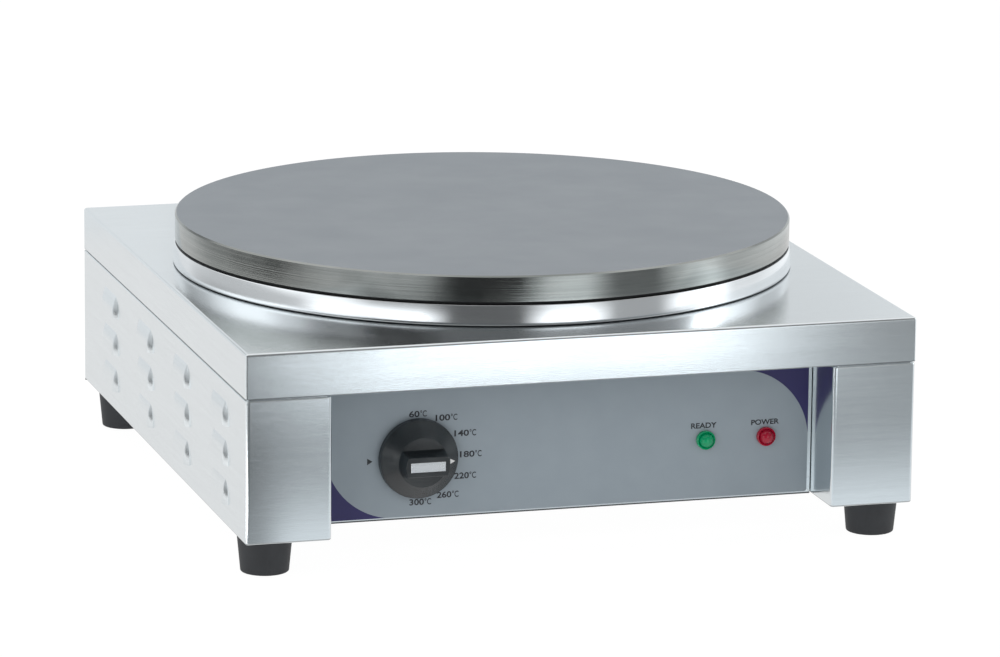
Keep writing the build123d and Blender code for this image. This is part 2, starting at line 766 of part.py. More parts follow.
def element_bend_arc(ring_end, toward, leg):
    """The quarter turn from a leg up into the ring."""
    half_way = element_bend * math.sin(math.radians(45))
    low = element_bend - half_way
    middle = (ring_end[0] + half_way * toward[0], ring_end[1] + half_way * toward[1])
    return (
        point(leg[0], plate_offset + leg[1], element_z - element_bend),
        point(middle[0], plate_offset + middle[1], element_z - low),
        point(ring_end[0], plate_offset + ring_end[1], element_z),
    )


def heating_element(radius):
    """One tubular element, swept along its legs, bends and ring."""
    first, last = element_ends(radius)
    first_arc = element_bend_arc(*first)
    last_arc = element_bend_arc(*last)
    with BuildPart() as element:
        with BuildLine() as route:
            Line(point(first[2][0], plate_offset + first[2][1], leg_foot), first_arc[0])
            ThreePointArc(*first_arc)
            ThreePointArc(first_arc[2], point(-radius, plate_offset, element_z), last_arc[2])
            ThreePointArc(last_arc[2], last_arc[1], last_arc[0])
            Line(last_arc[0], point(last[2][0], plate_offset + last[2][1], leg_foot))
        with BuildSketch(level(leg_foot, first[2][0], plate_offset + first[2][1])):
            Circle(element_d / 2)
        sweep()
    return element


outer_heating_element = heating_element(outer_element)
inner_heating_element = heating_element(inner_element)
leg_places = [
    (leg[0], plate_offset + leg[1])
    for radius in (outer_element, inner_element)
    for ring_end, toward, leg in element_ends(radius)
]

# ---- Terminal pins of the elements, and the straps that join the two elements ----
with BuildPart() as element_terminals:
    for place in leg_places:
        rod(place, (leg_foot - pin_length, leg_foot), pin_d)

outer_legs = leg_places[:2]
inner_legs = leg_places[2:]
strap_z = (leg_foot - strap_drop - strap_thickness, leg_foot - strap_drop)
with BuildPart() as element_straps:
    for outer_leg, inner_leg in zip(outer_legs, inner_legs):
        middle_y = (outer_leg[1] + inner_leg[1]) / 2
        block(
            (inner_leg[0] - strap_width / 2, outer_leg[0] + strap_width / 2),
            (middle_y - strap_width / 2, middle_y + strap_width / 2),
            strap_z,
        )
        for place in (outer_leg, inner_leg):
            rod(place, strap_z, pin_d + bore_fit, Mode.SUBTRACT)

# ---- Clamp disc, insulation and heat shield, with the holes that studs and legs pass ----
bulb_y = plate_offset + bulb_shift
bulb_front = bulb_y - bulb_length / 2
capillary_hole = (0, bulb_front - capillary_run)


def pass_through(z, stud_hole):
    """Cuts the holes of the studs and the capillary between two heights."""
    for place in stud_places:
        rod(place, z, stud_hole, Mode.SUBTRACT)
    rod(capillary_hole, z, capillary_d + 2 * hole_fit, Mode.SUBTRACT)


def leg_windows(z):
    """Cuts the window that the bends and legs of each element pass, between two heights."""
    for first, last in (outer_legs, inner_legs):
        block(
            (first[0] - element_d, first[0] + element_d / 2 + hole_fit),
            (last[1] - element_bend - hole_fit, first[1] + element_bend + hole_fit),
            z,
            Mode.SUBTRACT,
        )


with BuildPart() as element_clamp_disc:
    rod((0, plate_offset), (clamp_under, clamp_top), 2 * clamp_radius)
    rod((0, plate_offset), (clamp_under, clamp_top), 2 * clamp_window, Mode.SUBTRACT)
    pass_through((clamp_under, clamp_top), stud_d + hole_fit)
    leg_windows((clamp_under, clamp_top))

with BuildPart() as insulation_disc:
    rod((0, plate_offset), (shield_floor, clamp_under), 2 * (shield_radius - shield_sheet - panel_fit))
    pass_through((shield_floor, clamp_under), spacer_d + hole_fit)
    leg_windows((shield_floor, clamp_under))

rivet_places = [(cutout_x + x, cutout_place[1]) for x in (-cutout_pitch / 2, cutout_pitch / 2)]
with BuildPart() as heat_shield:
    with BuildSketch(Plane(origin=(0, mid_y + plate_offset, 0), x_dir=(1, 0, 0), z_dir=(0, -1, 0))):
        with BuildLine():
            Polyline(
                (0, shield_under),
                (shield_radius, shield_under),
                (shield_radius, cover_under - shield_sheet),
                (shield_radius + shield_lip, cover_under - shield_sheet),
                (shield_radius + shield_lip, cover_under),
                (shield_radius - shield_sheet, cover_under),
                (shield_radius - shield_sheet, shield_floor),
                (0, shield_floor),
                close=True,
            )
        make_face()
    revolve(axis=Axis((0, mid_y + plate_offset, 0), (0, 0, 1)))
    pass_through((shield_under, shield_floor), stud_d + hole_fit)
    for place in leg_places:
        rod(place, (shield_under, shield_floor), element_d + hole_fit, Mode.SUBTRACT)
    for place in rivet_places:
        rod(place, (shield_under, shield_floor), rivet_d + bore_fit, Mode.SUBTRACT)

# ---- Overheat cutout under the heat shield ----
cutout_half = cutout_pitch / 2 + cutout_ear
with BuildPart() as overheat_cutout:
    block(
        (cutout_x - cutout_half, cutout_x + cutout_half),
        (cutout_place[1] - cutout_width / 2, cutout_place[1] + cutout_width / 2),
        (shield_under - cutout_strap, shield_under),
    )
    rod(cutout_place, (shield_under - cutout_case, shield_under - cutout_strap), cutout_d)
    for place in rivet_places:
        rod(place, (shield_under, shield_floor), rivet_d)
        rod(place, (shield_under - cutout_strap - rivet_head, shield_under - cutout_strap), rivet_head_d)
    for x in (cutout_x - cutout_tab_x, cutout_x + cutout_tab_x):
        block(
            (x - cutout_tab_width / 2, x + cutout_tab_width / 2),
            (cutout_place[1] - tab_thickness / 2, cutout_place[1] + tab_thickness / 2),
            (shield_under - cutout_depth, shield_under - cutout_case),
        )

# ---- Sensing bulb, its clip and screws ----
bulb_z = web_under - element_gap - bulb_d / 2
with BuildPart() as sensing_bulb:
    with BuildSketch(facing_front(bulb_y + bulb_length / 2, 0, bulb_z)):
        Circle(bulb_d / 2)
    extrude(amount=bulb_length)
    chamfer(sensing_bulb.edges().filter_by(GeomType.CIRCLE), bulb_d / 6)

with BuildPart() as bulb_clip:
    reach = clip_pitch / 2 + screw_d
    block(
        (-reach, reach),
        (bulb_y - clip_width / 2, bulb_y + clip_width / 2),
        (clip_top - clip_thickness, clip_top),
    )
    for place in bulb_places:
        rod(place, (clip_top - clip_thickness, clip_top), screw_d + bore_fit, Mode.SUBTRACT)

short_screw = pan_screw(screw_d, short_screw_length, short_screw_head_d, short_screw_head)
with BuildPart() as bulb_clip_screws:
    with Locations(*level_places(bulb_places, clip_top - clip_thickness)):
        add(short_screw)

# ---- Thermostat behind the control panel ----
body_x, body_y, body_z = thermostat_size
thermostat_back = panel_back + body_y
tab_z = dial_z - thermostat_tab
with BuildPart() as thermostat_body:
    block(
        (dial_x - body_x / 2, dial_x + body_x / 2),
        (panel_back, thermostat_back),
        (dial_z - body_z / 2, dial_z + body_z / 2),
    )
    chamfer(thermostat_body.edges().filter_by(Axis.Y), thermostat_corner)
    with BuildSketch(facing_front(panel_back, dial_x, dial_z)):
        Circle(bushing_d / 2)
    extrude(amount=sheet)
    with BuildSketch(facing_front(panel_back + shaft_depth, dial_x, dial_z)):
        Circle((shaft_d + shaft_fit) / 2)
    extrude(amount=shaft_depth + sheet, mode=Mode.SUBTRACT)
    with Locations(facing_front(panel_back, dial_x, dial_z)):
        with GridLocations(1, thermostat_screw_pitch, 1, 2):
            Hole((screw_d + bore_fit) / 2, depth=screw_length)
    for x in (dial_x - tab_x, dial_x + tab_x):
        block(
            (x - tab_width / 2, x + tab_width / 2),
            (thermostat_back, thermostat_back + thermostat_tab),
            (tab_z - tab_thickness / 2, tab_z + tab_thickness / 2),
        )

with BuildPart() as thermostat_screws:
    with Locations(facing_back(panel_y, dial_x, dial_z)):
        with GridLocations(1, thermostat_screw_pitch, 1, 2):
            add(short_screw)

shaft_reach = hub_height - shaft_cover
with BuildPart() as thermostat_shaft:
    with BuildSketch(facing_front(panel_back + shaft_depth - shaft_fit, dial_x, dial_z)):
        Circle(shaft_d / 2)
    extrude(amount=shaft_depth - shaft_fit + sheet + overlay_thickness + shaft_reach)
    with BuildSketch(facing_front(overlay_y - knob_gap / 2, dial_x, dial_z)):
        with Locations((0, shaft_flat + shaft_d / 2)):
            Rectangle(shaft_d, shaft_d)
    extrude(amount=shaft_reach, mode=Mode.SUBTRACT)

# ---- Knob: skirt, cone, flat hub and the tapered grip across it ----
with BuildPart() as thermostat_knob:
    with BuildSketch(Plane(origin=(dial_x, mid_y + overlay_y, dial_z), x_dir=(1, 0, 0), z_dir=(0, 0, 1))):
        with BuildLine():
            Polyline(
                (0, -knob_gap),
                (knob_radius - knob_edge, -knob_gap),
                (knob_radius, -knob_gap - knob_edge),
                (knob_radius - knob_draft, -knob_rim),
                (hub_radius, -hub_height),
                (0, -hub_height),
                close=True,
            )
        make_face()
    revolve(axis=Axis((dial_x, mid_y, dial_z), (0, 1, 0)))
    circles = thermostat_knob.edges().filter_by(GeomType.CIRCLE).sort_by(Axis.Y)
    fillet(circles.filter_by(lambda edge: hub_radius < edge.radius < knob_radius)[0], knob_rim_round)
    with BuildSketch(facing_front(overlay_y - hub_height, dial_x, dial_z)):
        Circle(hub_radius)
        Rectangle(2 * hub_radius, grip_base, mode=Mode.INTERSECT)
    with BuildSketch(facing_front(overlay_y - grip_height, dial_x, dial_z)):
        Circle(grip_radius)
        Rectangle(2 * grip_radius, grip_front, mode=Mode.INTERSECT)
    loft()
    grip_face = thermostat_knob.faces().sort_by(Axis.Y)[0]
    fillet(grip_face.edges(), grip_round)
    with BuildSketch(facing_front(overlay_y - grip_height, dial_x, dial_z)):
        Rectangle(insert_size[0] + 2 * insert_fit, insert_size[1] + 2 * insert_fit)
    extrude(amount=-insert_depth, mode=Mode.SUBTRACT)
    with BuildSketch(facing_front(overlay_y - knob_gap, dial_x, dial_z)):
        Circle(knob_hollow[0])
        Circle(shaft_d, mode=Mode.SUBTRACT)
    extrude(amount=knob_hollow[1] - knob_gap, mode=Mode.SUBTRACT)
    with BuildSketch(facing_front(overlay_y, dial_x, dial_z)):
        Circle((shaft_d + shaft_fit) / 2)
        with Locations((0, shaft_flat + shaft_fit / 2 + shaft_d / 2)):
            Rectangle(shaft_d, shaft_d, mode=Mode.SUBTRACT)
    extrude(amount=shaft_reach + shaft_fit, mode=Mode.SUBTRACT)

with BuildPart() as knob_insert:
    with BuildSketch(facing_front(overlay_y - grip_height + insert_depth, dial_x, dial_z)):
        Rectangle(*insert_size)
    extrude(amount=insert_depth + insert_proud)
    chamfer(knob_insert.faces().sort_by(Axis.Y)[0].edges(), insert_proud)


# ---- Pilot lamps ----
def lamp_lens(x):
    """The stepped lens: a collar on the overlay and a half ball in the middle of it."""
    ball_y = lens_radius - lens_height
    with BuildPart() as lens:
        with BuildSketch(Plane(origin=(x, mid_y + overlay_y, dial_z), x_dir=(1, 0, 0), z_dir=(0, 0, 1))):
            with BuildLine():
                Polyline(
                    (0, -lens_height),
                    (0, 0),
                    (lamp_radius, 0),
                    (lamp_radius, lens_chamfer - lamp_collar),
                    (lamp_radius - lens_chamfer, -lamp_collar),
                    (lens_radius, ball_y),
                )
                CenterArc((0, ball_y), lens_radius, -90, 90)
            make_face()
        revolve(axis=Axis((x, mid_y, dial_z), (0, 1, 0)))
    return lens


def lamp_body(x):
    """The lamp's holder behind its lens, with two solder tags."""
    with BuildPart() as body:
        with BuildSketch(facing_front(panel_back + lamp_body_length, x, dial_z)):
            Circle(lamp_shank / 2)
        extrude(amount=lamp_body_length + sheet + overlay_thickness)
        tags_front = panel_back + lamp_body_length
        for middle in (x - tag_x, x + tag_x):
            block(
                (middle - tab_thickness / 2, middle + tab_thickness / 2),
                (tags_front, tags_front + lamp_tag),
                (dial_z - tag_width / 2, dial_z + tag_width / 2),
            )
    return body


green_lamp_lens = lamp_lens(green_x)
red_lamp_lens = lamp_lens(red_x)
green_lamp_body = lamp_body(green_x)
red_lamp_body = lamp_body(red_x)

with BuildPart() as lamp_nuts:
    with Locations(*[facing_back(panel_back, x, dial_z) for x in (green_x, red_x)]):
        add(hex_nut(lamp_shank, lamp_nut_d, lamp_nut_thickness))

# ---- Feet, each with its screw, washer and nut ----
foot_places = {
    "front_left": (-foot_x, front_foot_y),
    "front_right": (foot_x, front_foot_y),
    "back_left": (-foot_x, back_foot_y),
    "back_right": (foot_x, back_foot_y),
}


def rubber_foot(place):
    """A tapered foot with a pocket from below for its screw."""
    with BuildPart() as foot:
        with BuildSketch(level(0, *place)):
            Circle(foot_bottom_radius)
        with BuildSketch(level(foot_height, *place)):
            Circle(foot_top_radius)
        loft()
        fillet(foot.edges().sort_by(Axis.Z)[0], foot_round)
        rod(place, (0, foot_pocket), foot_pocket_d, Mode.SUBTRACT)
        rod(place, (0, foot_height), foot_screw_d + hole_fit, Mode.SUBTRACT)
    return foot


feet = {f"foot_{corner}": rubber_foot(place) for corner, place in foot_places.items()}

foot_seat = foot_pocket - foot_washer_thickness
foot_screw_length = floor_top - foot_seat + foot_screw_end
foot_screw = pan_screw(foot_screw_d, foot_screw_length, foot_screw_head_d, foot_screw_head)
with BuildPart() as foot_screws:
    with Locations(*level_places(foot_places.values(), foot_seat)):
        add(foot_screw)

with BuildPart() as foot_washers:
    with Locations(*level_places(foot_places.values(), foot_seat)):
        add(washer(foot_screw_d + hole_fit, foot_pocket_d - hole_fit, foot_washer_thickness))

foot_nut = hex_nut(foot_screw_d, foot_nut_across, foot_nut_height)
with BuildPart() as foot_nuts:
    with Locations(*level_places([(-foot_x, front_foot_y), (foot_x, front_foot_y)], base_z + sheet)):
        add(foot_nut)
    with Locations(*level_places([(-foot_x, back_foot_y), (foot_x, back_foot_y)], floor_top)):
        add(foot_nut)

# ---- Cable gland in the back panel ----
with BuildPart() as gland_body:
    with BuildSketch(facing_back(back_y, gland_x, gland_height)):
        RegularPolygon(gland_hex / 2, 6, major_radius=False)
    extrude(amount=gland_hex_length)
    with BuildSketch(facing_back(back_y - gland_tail, gland_x, gland_height)):
        Circle(gland_thread / 2)
    extrude(amount=gland_tail)
    with BuildSketch(facing_back(back_y - gland_tail, gland_x, gland_height)):
        Circle(gland_passage / 2)
    extrude(amount=gland_tail + gland_hex_length, mode=Mode.SUBTRACT)

gland_face = back_y + gland_hex_length
with BuildPart() as gland_cap:
    with BuildSketch(facing_back(gland_face, gland_x, gland_height)):
        RegularPolygon(gland_hex / 2, 6, major_radius=False)
    extrude(amount=gland_cap_length)
    with BuildSketch(facing_back(gland_face, gland_x, gland_height)):
        Circle(gland_hex * nut_corner)
    extrude(amount=gland_cap_length, taper=gland_taper, mode=Mode.INTERSECT)
    with BuildSketch(facing_back(gland_face, gland_x, gland_height)):
        Circle((gland_passage + bore_fit) / 2)
    extrude(amount=gland_cap_length, mode=Mode.SUBTRACT)

with BuildPart() as gland_seal:
    with BuildSketch(facing_back(back_y, gland_x, gland_height)):
        Circle(gland_passage / 2 - bore_fit)
        Circle(cord_bore / 2, mode=Mode.SUBTRACT)
    extrude(amount=gland_reach - gland_seal_inset)

with BuildPart() as gland_locknut:
    with Locations(facing_front(back_y - sheet, gland_x, gland_height)):
        add(hex_nut(gland_thread, locknut_across, locknut_thickness))

# ---- Terminal block and its screws ----
block_x, block_y, block_z = block_size
with BuildPart() as terminal_block:
    block(
        (block_place[0] - block_x / 2, block_place[0] + block_x / 2),
        (block_place[1] - block_y / 2, block_place[1] + block_y / 2),
        (floor_top, floor_top + block_z),
    )
    fillet(terminal_block.edges().filter_by(Axis.Z), block_corner)
    block_top = level(floor_top + block_z, *block_place)
    with BuildSketch(block_top):
        with GridLocations(pole_pitch, block_y / 2, 3, 2):
            Circle((screw_d + bore_fit) / 2)
    extrude(amount=-block_z / 2, mode=Mode.SUBTRACT)
    with BuildSketch(block_top):
        with GridLocations(pole_pitch, 1, 2, 1):
            Circle((screw_d + bore_fit) / 2)
    extrude(amount=-block_z, mode=Mode.SUBTRACT)

terminal_screw = pan_screw(screw_d, block_z / 2 - hole_fit, terminal_head_d, terminal_head)
with BuildPart() as terminal_screws:
    with Locations(block_top):
        with GridLocations(pole_pitch, block_y / 2, 3, 2):
            with Locations(Location((0, 0, 0), (180, 0, 0))):
                add(terminal_screw)

block_screw = pan_screw(screw_d, block_z + 2 * sheet, block_head_d, block_head)
with BuildPart() as terminal_block_screws:
    with Locations(block_top):
        with GridLocations(pole_pitch, 1, 2, 1):
            with Locations(Location((0, 0, 0), (180, 0, 0))):
                add(block_screw)

lug_z = floor_top + earth_nut_height
earth_nut = hex_nut(earth_d, earth_nut_across, earth_nut_height)
with BuildPart() as earth_nuts:
    with Locations(*level_places([earth_place], floor_top)):
        add(earth_nut)
    with Locations(*level_places([earth_place], lug_z + lug_thickness)):
        add(earth_nut)


# ---- Leads and capillary: straight runs joined by tangent arcs ----
def bend_radii(points, largest):
    """The bend at each inner point, as large as its runs allow up to the largest."""
    radii = []
    for before, here, after in zip(points, points[1:], points[2:]):
        run_in = here - before
        run_out = after - here
        half_turn = math.radians(run_in.get_angle(run_out) / 2)
        radii.append(min(largest, bend_share * min(run_in.length, run_out.length) / math.tan(half_turn)))
    return radii


def lead(places, diameter):
    """One round lead along its route."""
    points = [point(*place) for place in places]
    with BuildPart() as wire:
        with BuildLine() as route:
            FilletPolyline(*points, radius=bend_radii(points, lead_bend))
        with BuildSketch(Plane(origin=route.line @ 0, z_dir=route.line % 0)):
            Circle(diameter / 2)
        sweep()
    return wire.part


pole_front = block_place[1] - block_y / 2
live_pole, neutral_pole, earth_pole = [block_place[0] + k * pole_pitch for k in (-1, 0, 1)]
low_z, middle_z, high_z = [floor_top + rise for rise in entry_rises]
tab_y = thermostat_back + thermostat_tab
cutout_tab_z = shield_under - cutout_depth
pin_foot = leg_foot - pin_length
back_pin, front_pin = outer_legs
tags_y = panel_back + lamp_body_length + lamp_tag

with BuildPart() as power_leads:
    add(
        lead(
            [
                (live_pole, pole_front, low_z),
                (live_pole, pole_front - live_run, low_z),
                live_knee,
                (dial_x + tab_x, tab_y + live_slope[0], tab_z - live_slope[1]),
                (dial_x + tab_x, tab_y + tab_run, tab_z),
                (dial_x + tab_x, tab_y, tab_z),
            ],
            lead_d,
        )
    )
    add(
        lead(
            [
                (neutral_pole, pole_front, low_z),
                (neutral_pole, pole_front - neutral_run, low_z),
                (front_pin[0] - neutral_knee[0], neutral_knee[1], neutral_knee[2]),
                (front_pin[0], front_pin[1], pin_foot - pin_run),
                (front_pin[0], front_pin[1], pin_foot),
            ],
            lead_d,
        )
    )

with BuildPart() as element_leads:
    add(
        lead(
            [
                (dial_x - tab_x, tab_y, tab_z),
                (dial_x - tab_x, tab_y + tab_run, tab_z),
                switched_knee,
                (cutout_x - cutout_tab_x, cutout_place[1], cutout_tab_z - pin_run),
                (cutout_x - cutout_tab_x, cutout_place[1], cutout_tab_z),
            ],
            lead_d,
        )
    )
    add(
        lead(
            [
                (cutout_x + cutout_tab_x, cutout_place[1], cutout_tab_z),
                (cutout_x + cutout_tab_x, cutout_place[1], cutout_tab_z - pin_run),
                heater_knee,
                (back_pin[0], back_pin[1], pin_foot - pin_run),
                (back_pin[0], back_pin[1], pin_foot),
            ],
            lead_d,
        )
    )

lamp_routes = [
    [
        (green_x - tag_x, tags_y, dial_z),
        (green_x - tag_x, tags_y + ready_run, dial_z),
        ready_knee,
        (dial_x + tab_x, thermostat_back + lamp_entry[0], dial_z + lamp_entry[1]),
        (dial_x + tab_x, thermostat_back, dial_z + lamp_entry[1]),
    ],
    [
        (green_x + tag_x, tags_y, dial_z),
        (green_x + tag_x, tags_y + return_runs[0], dial_z),
        return_knee,
        (neutral_pole, pole_front - return_runs[1], high_z),
        (neutral_pole, pole_front, high_z),
    ],
    [
        (red_x - tag_x, tags_y, dial_z),
        (red_x - tag_x, tags_y + power_runs[0], dial_z),
        power_knee,
        (live_pole - beside_pole, pole_front - power_runs[1], middle_z),
        (live_pole - beside_pole, pole_front, middle_z),
    ],
    [
        (red_x + tag_x, tags_y, dial_z),
        (red_x + tag_x, tags_y + common_runs[0], dial_z),
        common_knee,
        (neutral_pole - beside_pole, pole_front - common_runs[1], middle_z),
        (neutral_pole - beside_pole, pole_front, middle_z),
    ],
]
with BuildPart() as lamp_leads:
    for route in lamp_routes:
        add(lead(route, lead_d))

block_back = block_place[1] + block_y / 2
with BuildPart() as earth_lead:
    rod(earth_place, (lug_z, lug_z + lug_thickness), lug_d)
    rod(earth_place, (lug_z, lug_z + lug_thickness), earth_d + bore_fit, Mode.SUBTRACT)
    add(
        lead(
            [
                (earth_pole, block_back, middle_z),
                (earth_pole, block_back + earth_run, middle_z),
                (earth_pole - earth_knee[0], block_back + earth_knee[1], lug_z + earth_knee[2]),
                (earth_place[0] + lug_d / 2 - lug_thickness / 2, earth_place[1], lug_z + lug_thickness / 2),
            ],
            lead_d,
        )
    )

with BuildPart() as capillary_tube:
    add(
        lead(
            [
                (0, bulb_front, bulb_z),
                (0, capillary_hole[1], bulb_z),
                (0, capillary_hole[1], shield_under - capillary_drop),
                capillary_knee,
                (dial_x, thermostat_back + capillary_end, dial_z + capillary_entry),
                (dial_x, thermostat_back, dial_z + capillary_entry),
            ],
            capillary_d,
        )
    )

# ---- Output ----
pieces = {
    "top_cover": top_cover,
    "left_side_panel": left_side_panel,
    "right_side_panel": right_side_panel,
    "back_panel": back_panel,
    "bottom_panel": bottom_panel,
    "control_panel": control_panel,
    "panel_overlay": panel_overlay,
    "base_screws": base_screws,
    "back_screws": back_screws,
    "cover_nuts": cover_nuts,
    "front_crossbar": front_crossbar,
    "rear_crossbar": rear_crossbar,
    "griddle_plate": griddle_plate,
    "plate_ring": plate_ring,
    "plate_studs": plate_studs,
    "stud_spacers": stud_spacers,
    "stud_washers": stud_washers,
    "stud_nuts": stud_nuts,
    "outer_heating_element": outer_heating_element,
    "inner_heating_element": inner_heating_element,
    "element_terminals": element_terminals,
    "element_straps": element_straps,
    "element_clamp_disc": element_clamp_disc,
    "insulation_disc": insulation_disc,
    "heat_shield": heat_shield,
    "overheat_cutout": overheat_cutout,
    "sensing_bulb": sensing_bulb,
    "bulb_clip": bulb_clip,
    "bulb_clip_screws": bulb_clip_screws,
    "capillary_tube": capillary_tube,
    "thermostat_body": thermostat_body,
    "thermostat_screws": thermostat_screws,
    "thermostat_shaft": thermostat_shaft,
    "thermostat_knob": thermostat_knob,
    "knob_insert": knob_insert,
    "green_lamp_lens": green_lamp_lens,
    "red_lamp_lens": red_lamp_lens,
    "green_lamp_body": green_lamp_body,
    "red_lamp_body": red_lamp_body,
    "lamp_nuts": lamp_nuts,
    "foot_screws": foot_screws,
    "foot_washers": foot_washers,
    "foot_nuts": foot_nuts,
    "gland_body": gland_body,
    "gland_cap": gland_cap,
    "gland_seal": gland_seal,
    "gland_locknut": gland_locknut,
    "terminal_block": terminal_block,
    "terminal_screws": terminal_screws,
    "terminal_block_screws": terminal_block_screws,
    "earth_nuts": earth_nuts,
    "power_leads": power_leads,
    "element_leads": element_leads,
    "lamp_leads": lamp_leads,
    "earth_lead": earth_lead,
    **feet,
}
os.makedirs("parts", exist_ok=True)
for name, piece in pieces.items():
    piece.part.label = name
    export_step(piece.part, f"parts/{name}.step")
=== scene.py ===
import math

import bmesh
import bpy
from mathutils import Matrix, Vector


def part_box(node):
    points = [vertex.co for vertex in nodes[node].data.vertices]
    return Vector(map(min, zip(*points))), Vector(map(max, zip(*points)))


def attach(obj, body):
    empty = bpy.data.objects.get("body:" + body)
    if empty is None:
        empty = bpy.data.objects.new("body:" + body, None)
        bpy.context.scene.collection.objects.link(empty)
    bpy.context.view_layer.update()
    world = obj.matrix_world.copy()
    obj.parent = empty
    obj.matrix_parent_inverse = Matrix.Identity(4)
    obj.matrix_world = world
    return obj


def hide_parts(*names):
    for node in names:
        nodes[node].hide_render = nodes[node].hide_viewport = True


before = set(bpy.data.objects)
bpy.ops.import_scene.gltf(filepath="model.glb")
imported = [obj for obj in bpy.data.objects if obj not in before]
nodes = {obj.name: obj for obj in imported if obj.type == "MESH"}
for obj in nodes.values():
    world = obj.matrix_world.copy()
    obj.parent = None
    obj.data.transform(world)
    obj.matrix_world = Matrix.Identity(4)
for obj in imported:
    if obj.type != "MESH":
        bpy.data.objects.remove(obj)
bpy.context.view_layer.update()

# Electric crepe maker: its finishes, its polished ring, the print on it, and the studio round it.
# Metres, +X right, -Y front, the origin on the worktop under the middle of the machine.

# ---- Places and sizes of this machine ----
BODY_Y = -0.00885  # the body's middle
PLATE_Y = BODY_Y + 0.0035  # the plate's axis
BASE_Z = 0.023  # the body's bottom edge, on top of the feet
DIAL_X, DIAL_Z = -0.0972, 0.0622  # the knob's axis
OVERLAY_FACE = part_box("panel_overlay")[0].y
RING_FOOT_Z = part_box("plate_ring")[0].z
COVER_EDGE_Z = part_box("top_cover")[0].z
MACHINE, KNOB = "machine", "knob"  # the two bodies

NUMBER, DIRECTION, SHAPE = "NodeSocketFloat", "NodeSocketVector", "NodeSocketGeometry"


# ======== Helpers for node trees ========
def feed(tree, socket, value):
    """Sets a socket, or links it where the value is another node's output."""
    if isinstance(value, bpy.types.NodeSocket):
        tree.links.new(value, socket)
    else:
        socket.default_value = value


def put(tree, kind, settings=None, inputs=None):
    """A new node with its settings and its inputs."""
    made = tree.nodes.new(kind)
    for name, value in (settings or {}).items():
        setattr(made, name, value)
    for name, value in (inputs or {}).items():
        feed(tree, made.inputs[name], value)
    return made


def sum_up(tree, operation, first, second=0.0, third=None):
    """One step of arithmetic."""
    inputs = {0: first, 1: second}
    if third is not None:
        inputs[2] = third
    return put(tree, "ShaderNodeMath", {"operation": operation}, inputs).outputs[0]


def span(tree, first, second):
    """The length of the long side of a right angle with these two sides."""
    squares = [sum_up(tree, "POWER", side, 2.0) for side in (first, second)]
    return sum_up(tree, "SQRT", sum_up(tree, "ADD", *squares))


def axes_of(tree, vector):
    """A vector's three parts."""
    return put(tree, "ShaderNodeSeparateXYZ", inputs={0: vector}).outputs


def vector_of(tree, x, y, z):
    """A vector from its three parts."""
    return put(tree, "ShaderNodeCombineXYZ", inputs={"X": x, "Y": y, "Z": z}).outputs[0]


def times(tree, place, factors):
    """A place stretched by a factor of its own on each axis."""
    operation = {"operation": "MULTIPLY"}
    return put(tree, "ShaderNodeVectorMath", operation, {0: place, 1: factors}).outputs[0]


def moved(tree, place, by, turn=(0, 0, 0)):
    """A place turned by angles in degrees and then moved."""
    angles = tuple(math.radians(angle) for angle in turn)
    inputs = {"Vector": place, "Location": by, "Rotation": angles}
    return put(tree, "ShaderNodeMapping", inputs=inputs).outputs[0]


def noise(tree, place, scale, **more):
    """A noise pattern over a place."""
    inputs = {"Vector": place, "Scale": scale, **more}
    return put(tree, "ShaderNodeTexNoise", inputs=inputs).outputs["Fac"]


def spread(tree, value, low, high, start=0.3, end=0.7, way="LINEAR"):
    """A pattern between start and end, stretched to the range that a socket needs."""
    reach = {"From Min": start, "From Max": end, "To Min": low, "To Max": high}
    settings = {"interpolation_type": way}
    return put(tree, "ShaderNodeMapRange", settings, {"Value": value, **reach}).outputs[0]


def ease(tree, value, start, end, low, high):
    """A smooth change from low to high as a value goes from start to end."""
    return spread(tree, value, low, high, start, end, "SMOOTHSTEP")


def blend(tree, mask, first, second):
    """A colour that goes from the first to the second with a mask."""
    mixed = put(tree, "ShaderNodeMix", {"data_type": "RGBA"}, {"Factor": mask})
    for socket, value in ((6, first), (7, second)):
        feed(tree, mixed.inputs[socket], (*value, 1) if isinstance(value, tuple) else value)
    return mixed.outputs[2]


def group_tree(name, kind, inputs, outputs):
    """An empty node group with its named sockets."""
    tree = bpy.data.node_groups.new(name, kind)
    for label, socket_type, value in inputs:
        socket = tree.interface.new_socket(label, in_out="INPUT", socket_type=socket_type)
        if value is not None:
            socket.default_value = value
    for label, socket_type in outputs:
        tree.interface.new_socket(label, in_out="OUTPUT", socket_type=socket_type)
    given = tree.nodes.new("NodeGroupInput").outputs
    return tree, given, tree.nodes.new("NodeGroupOutput").inputs


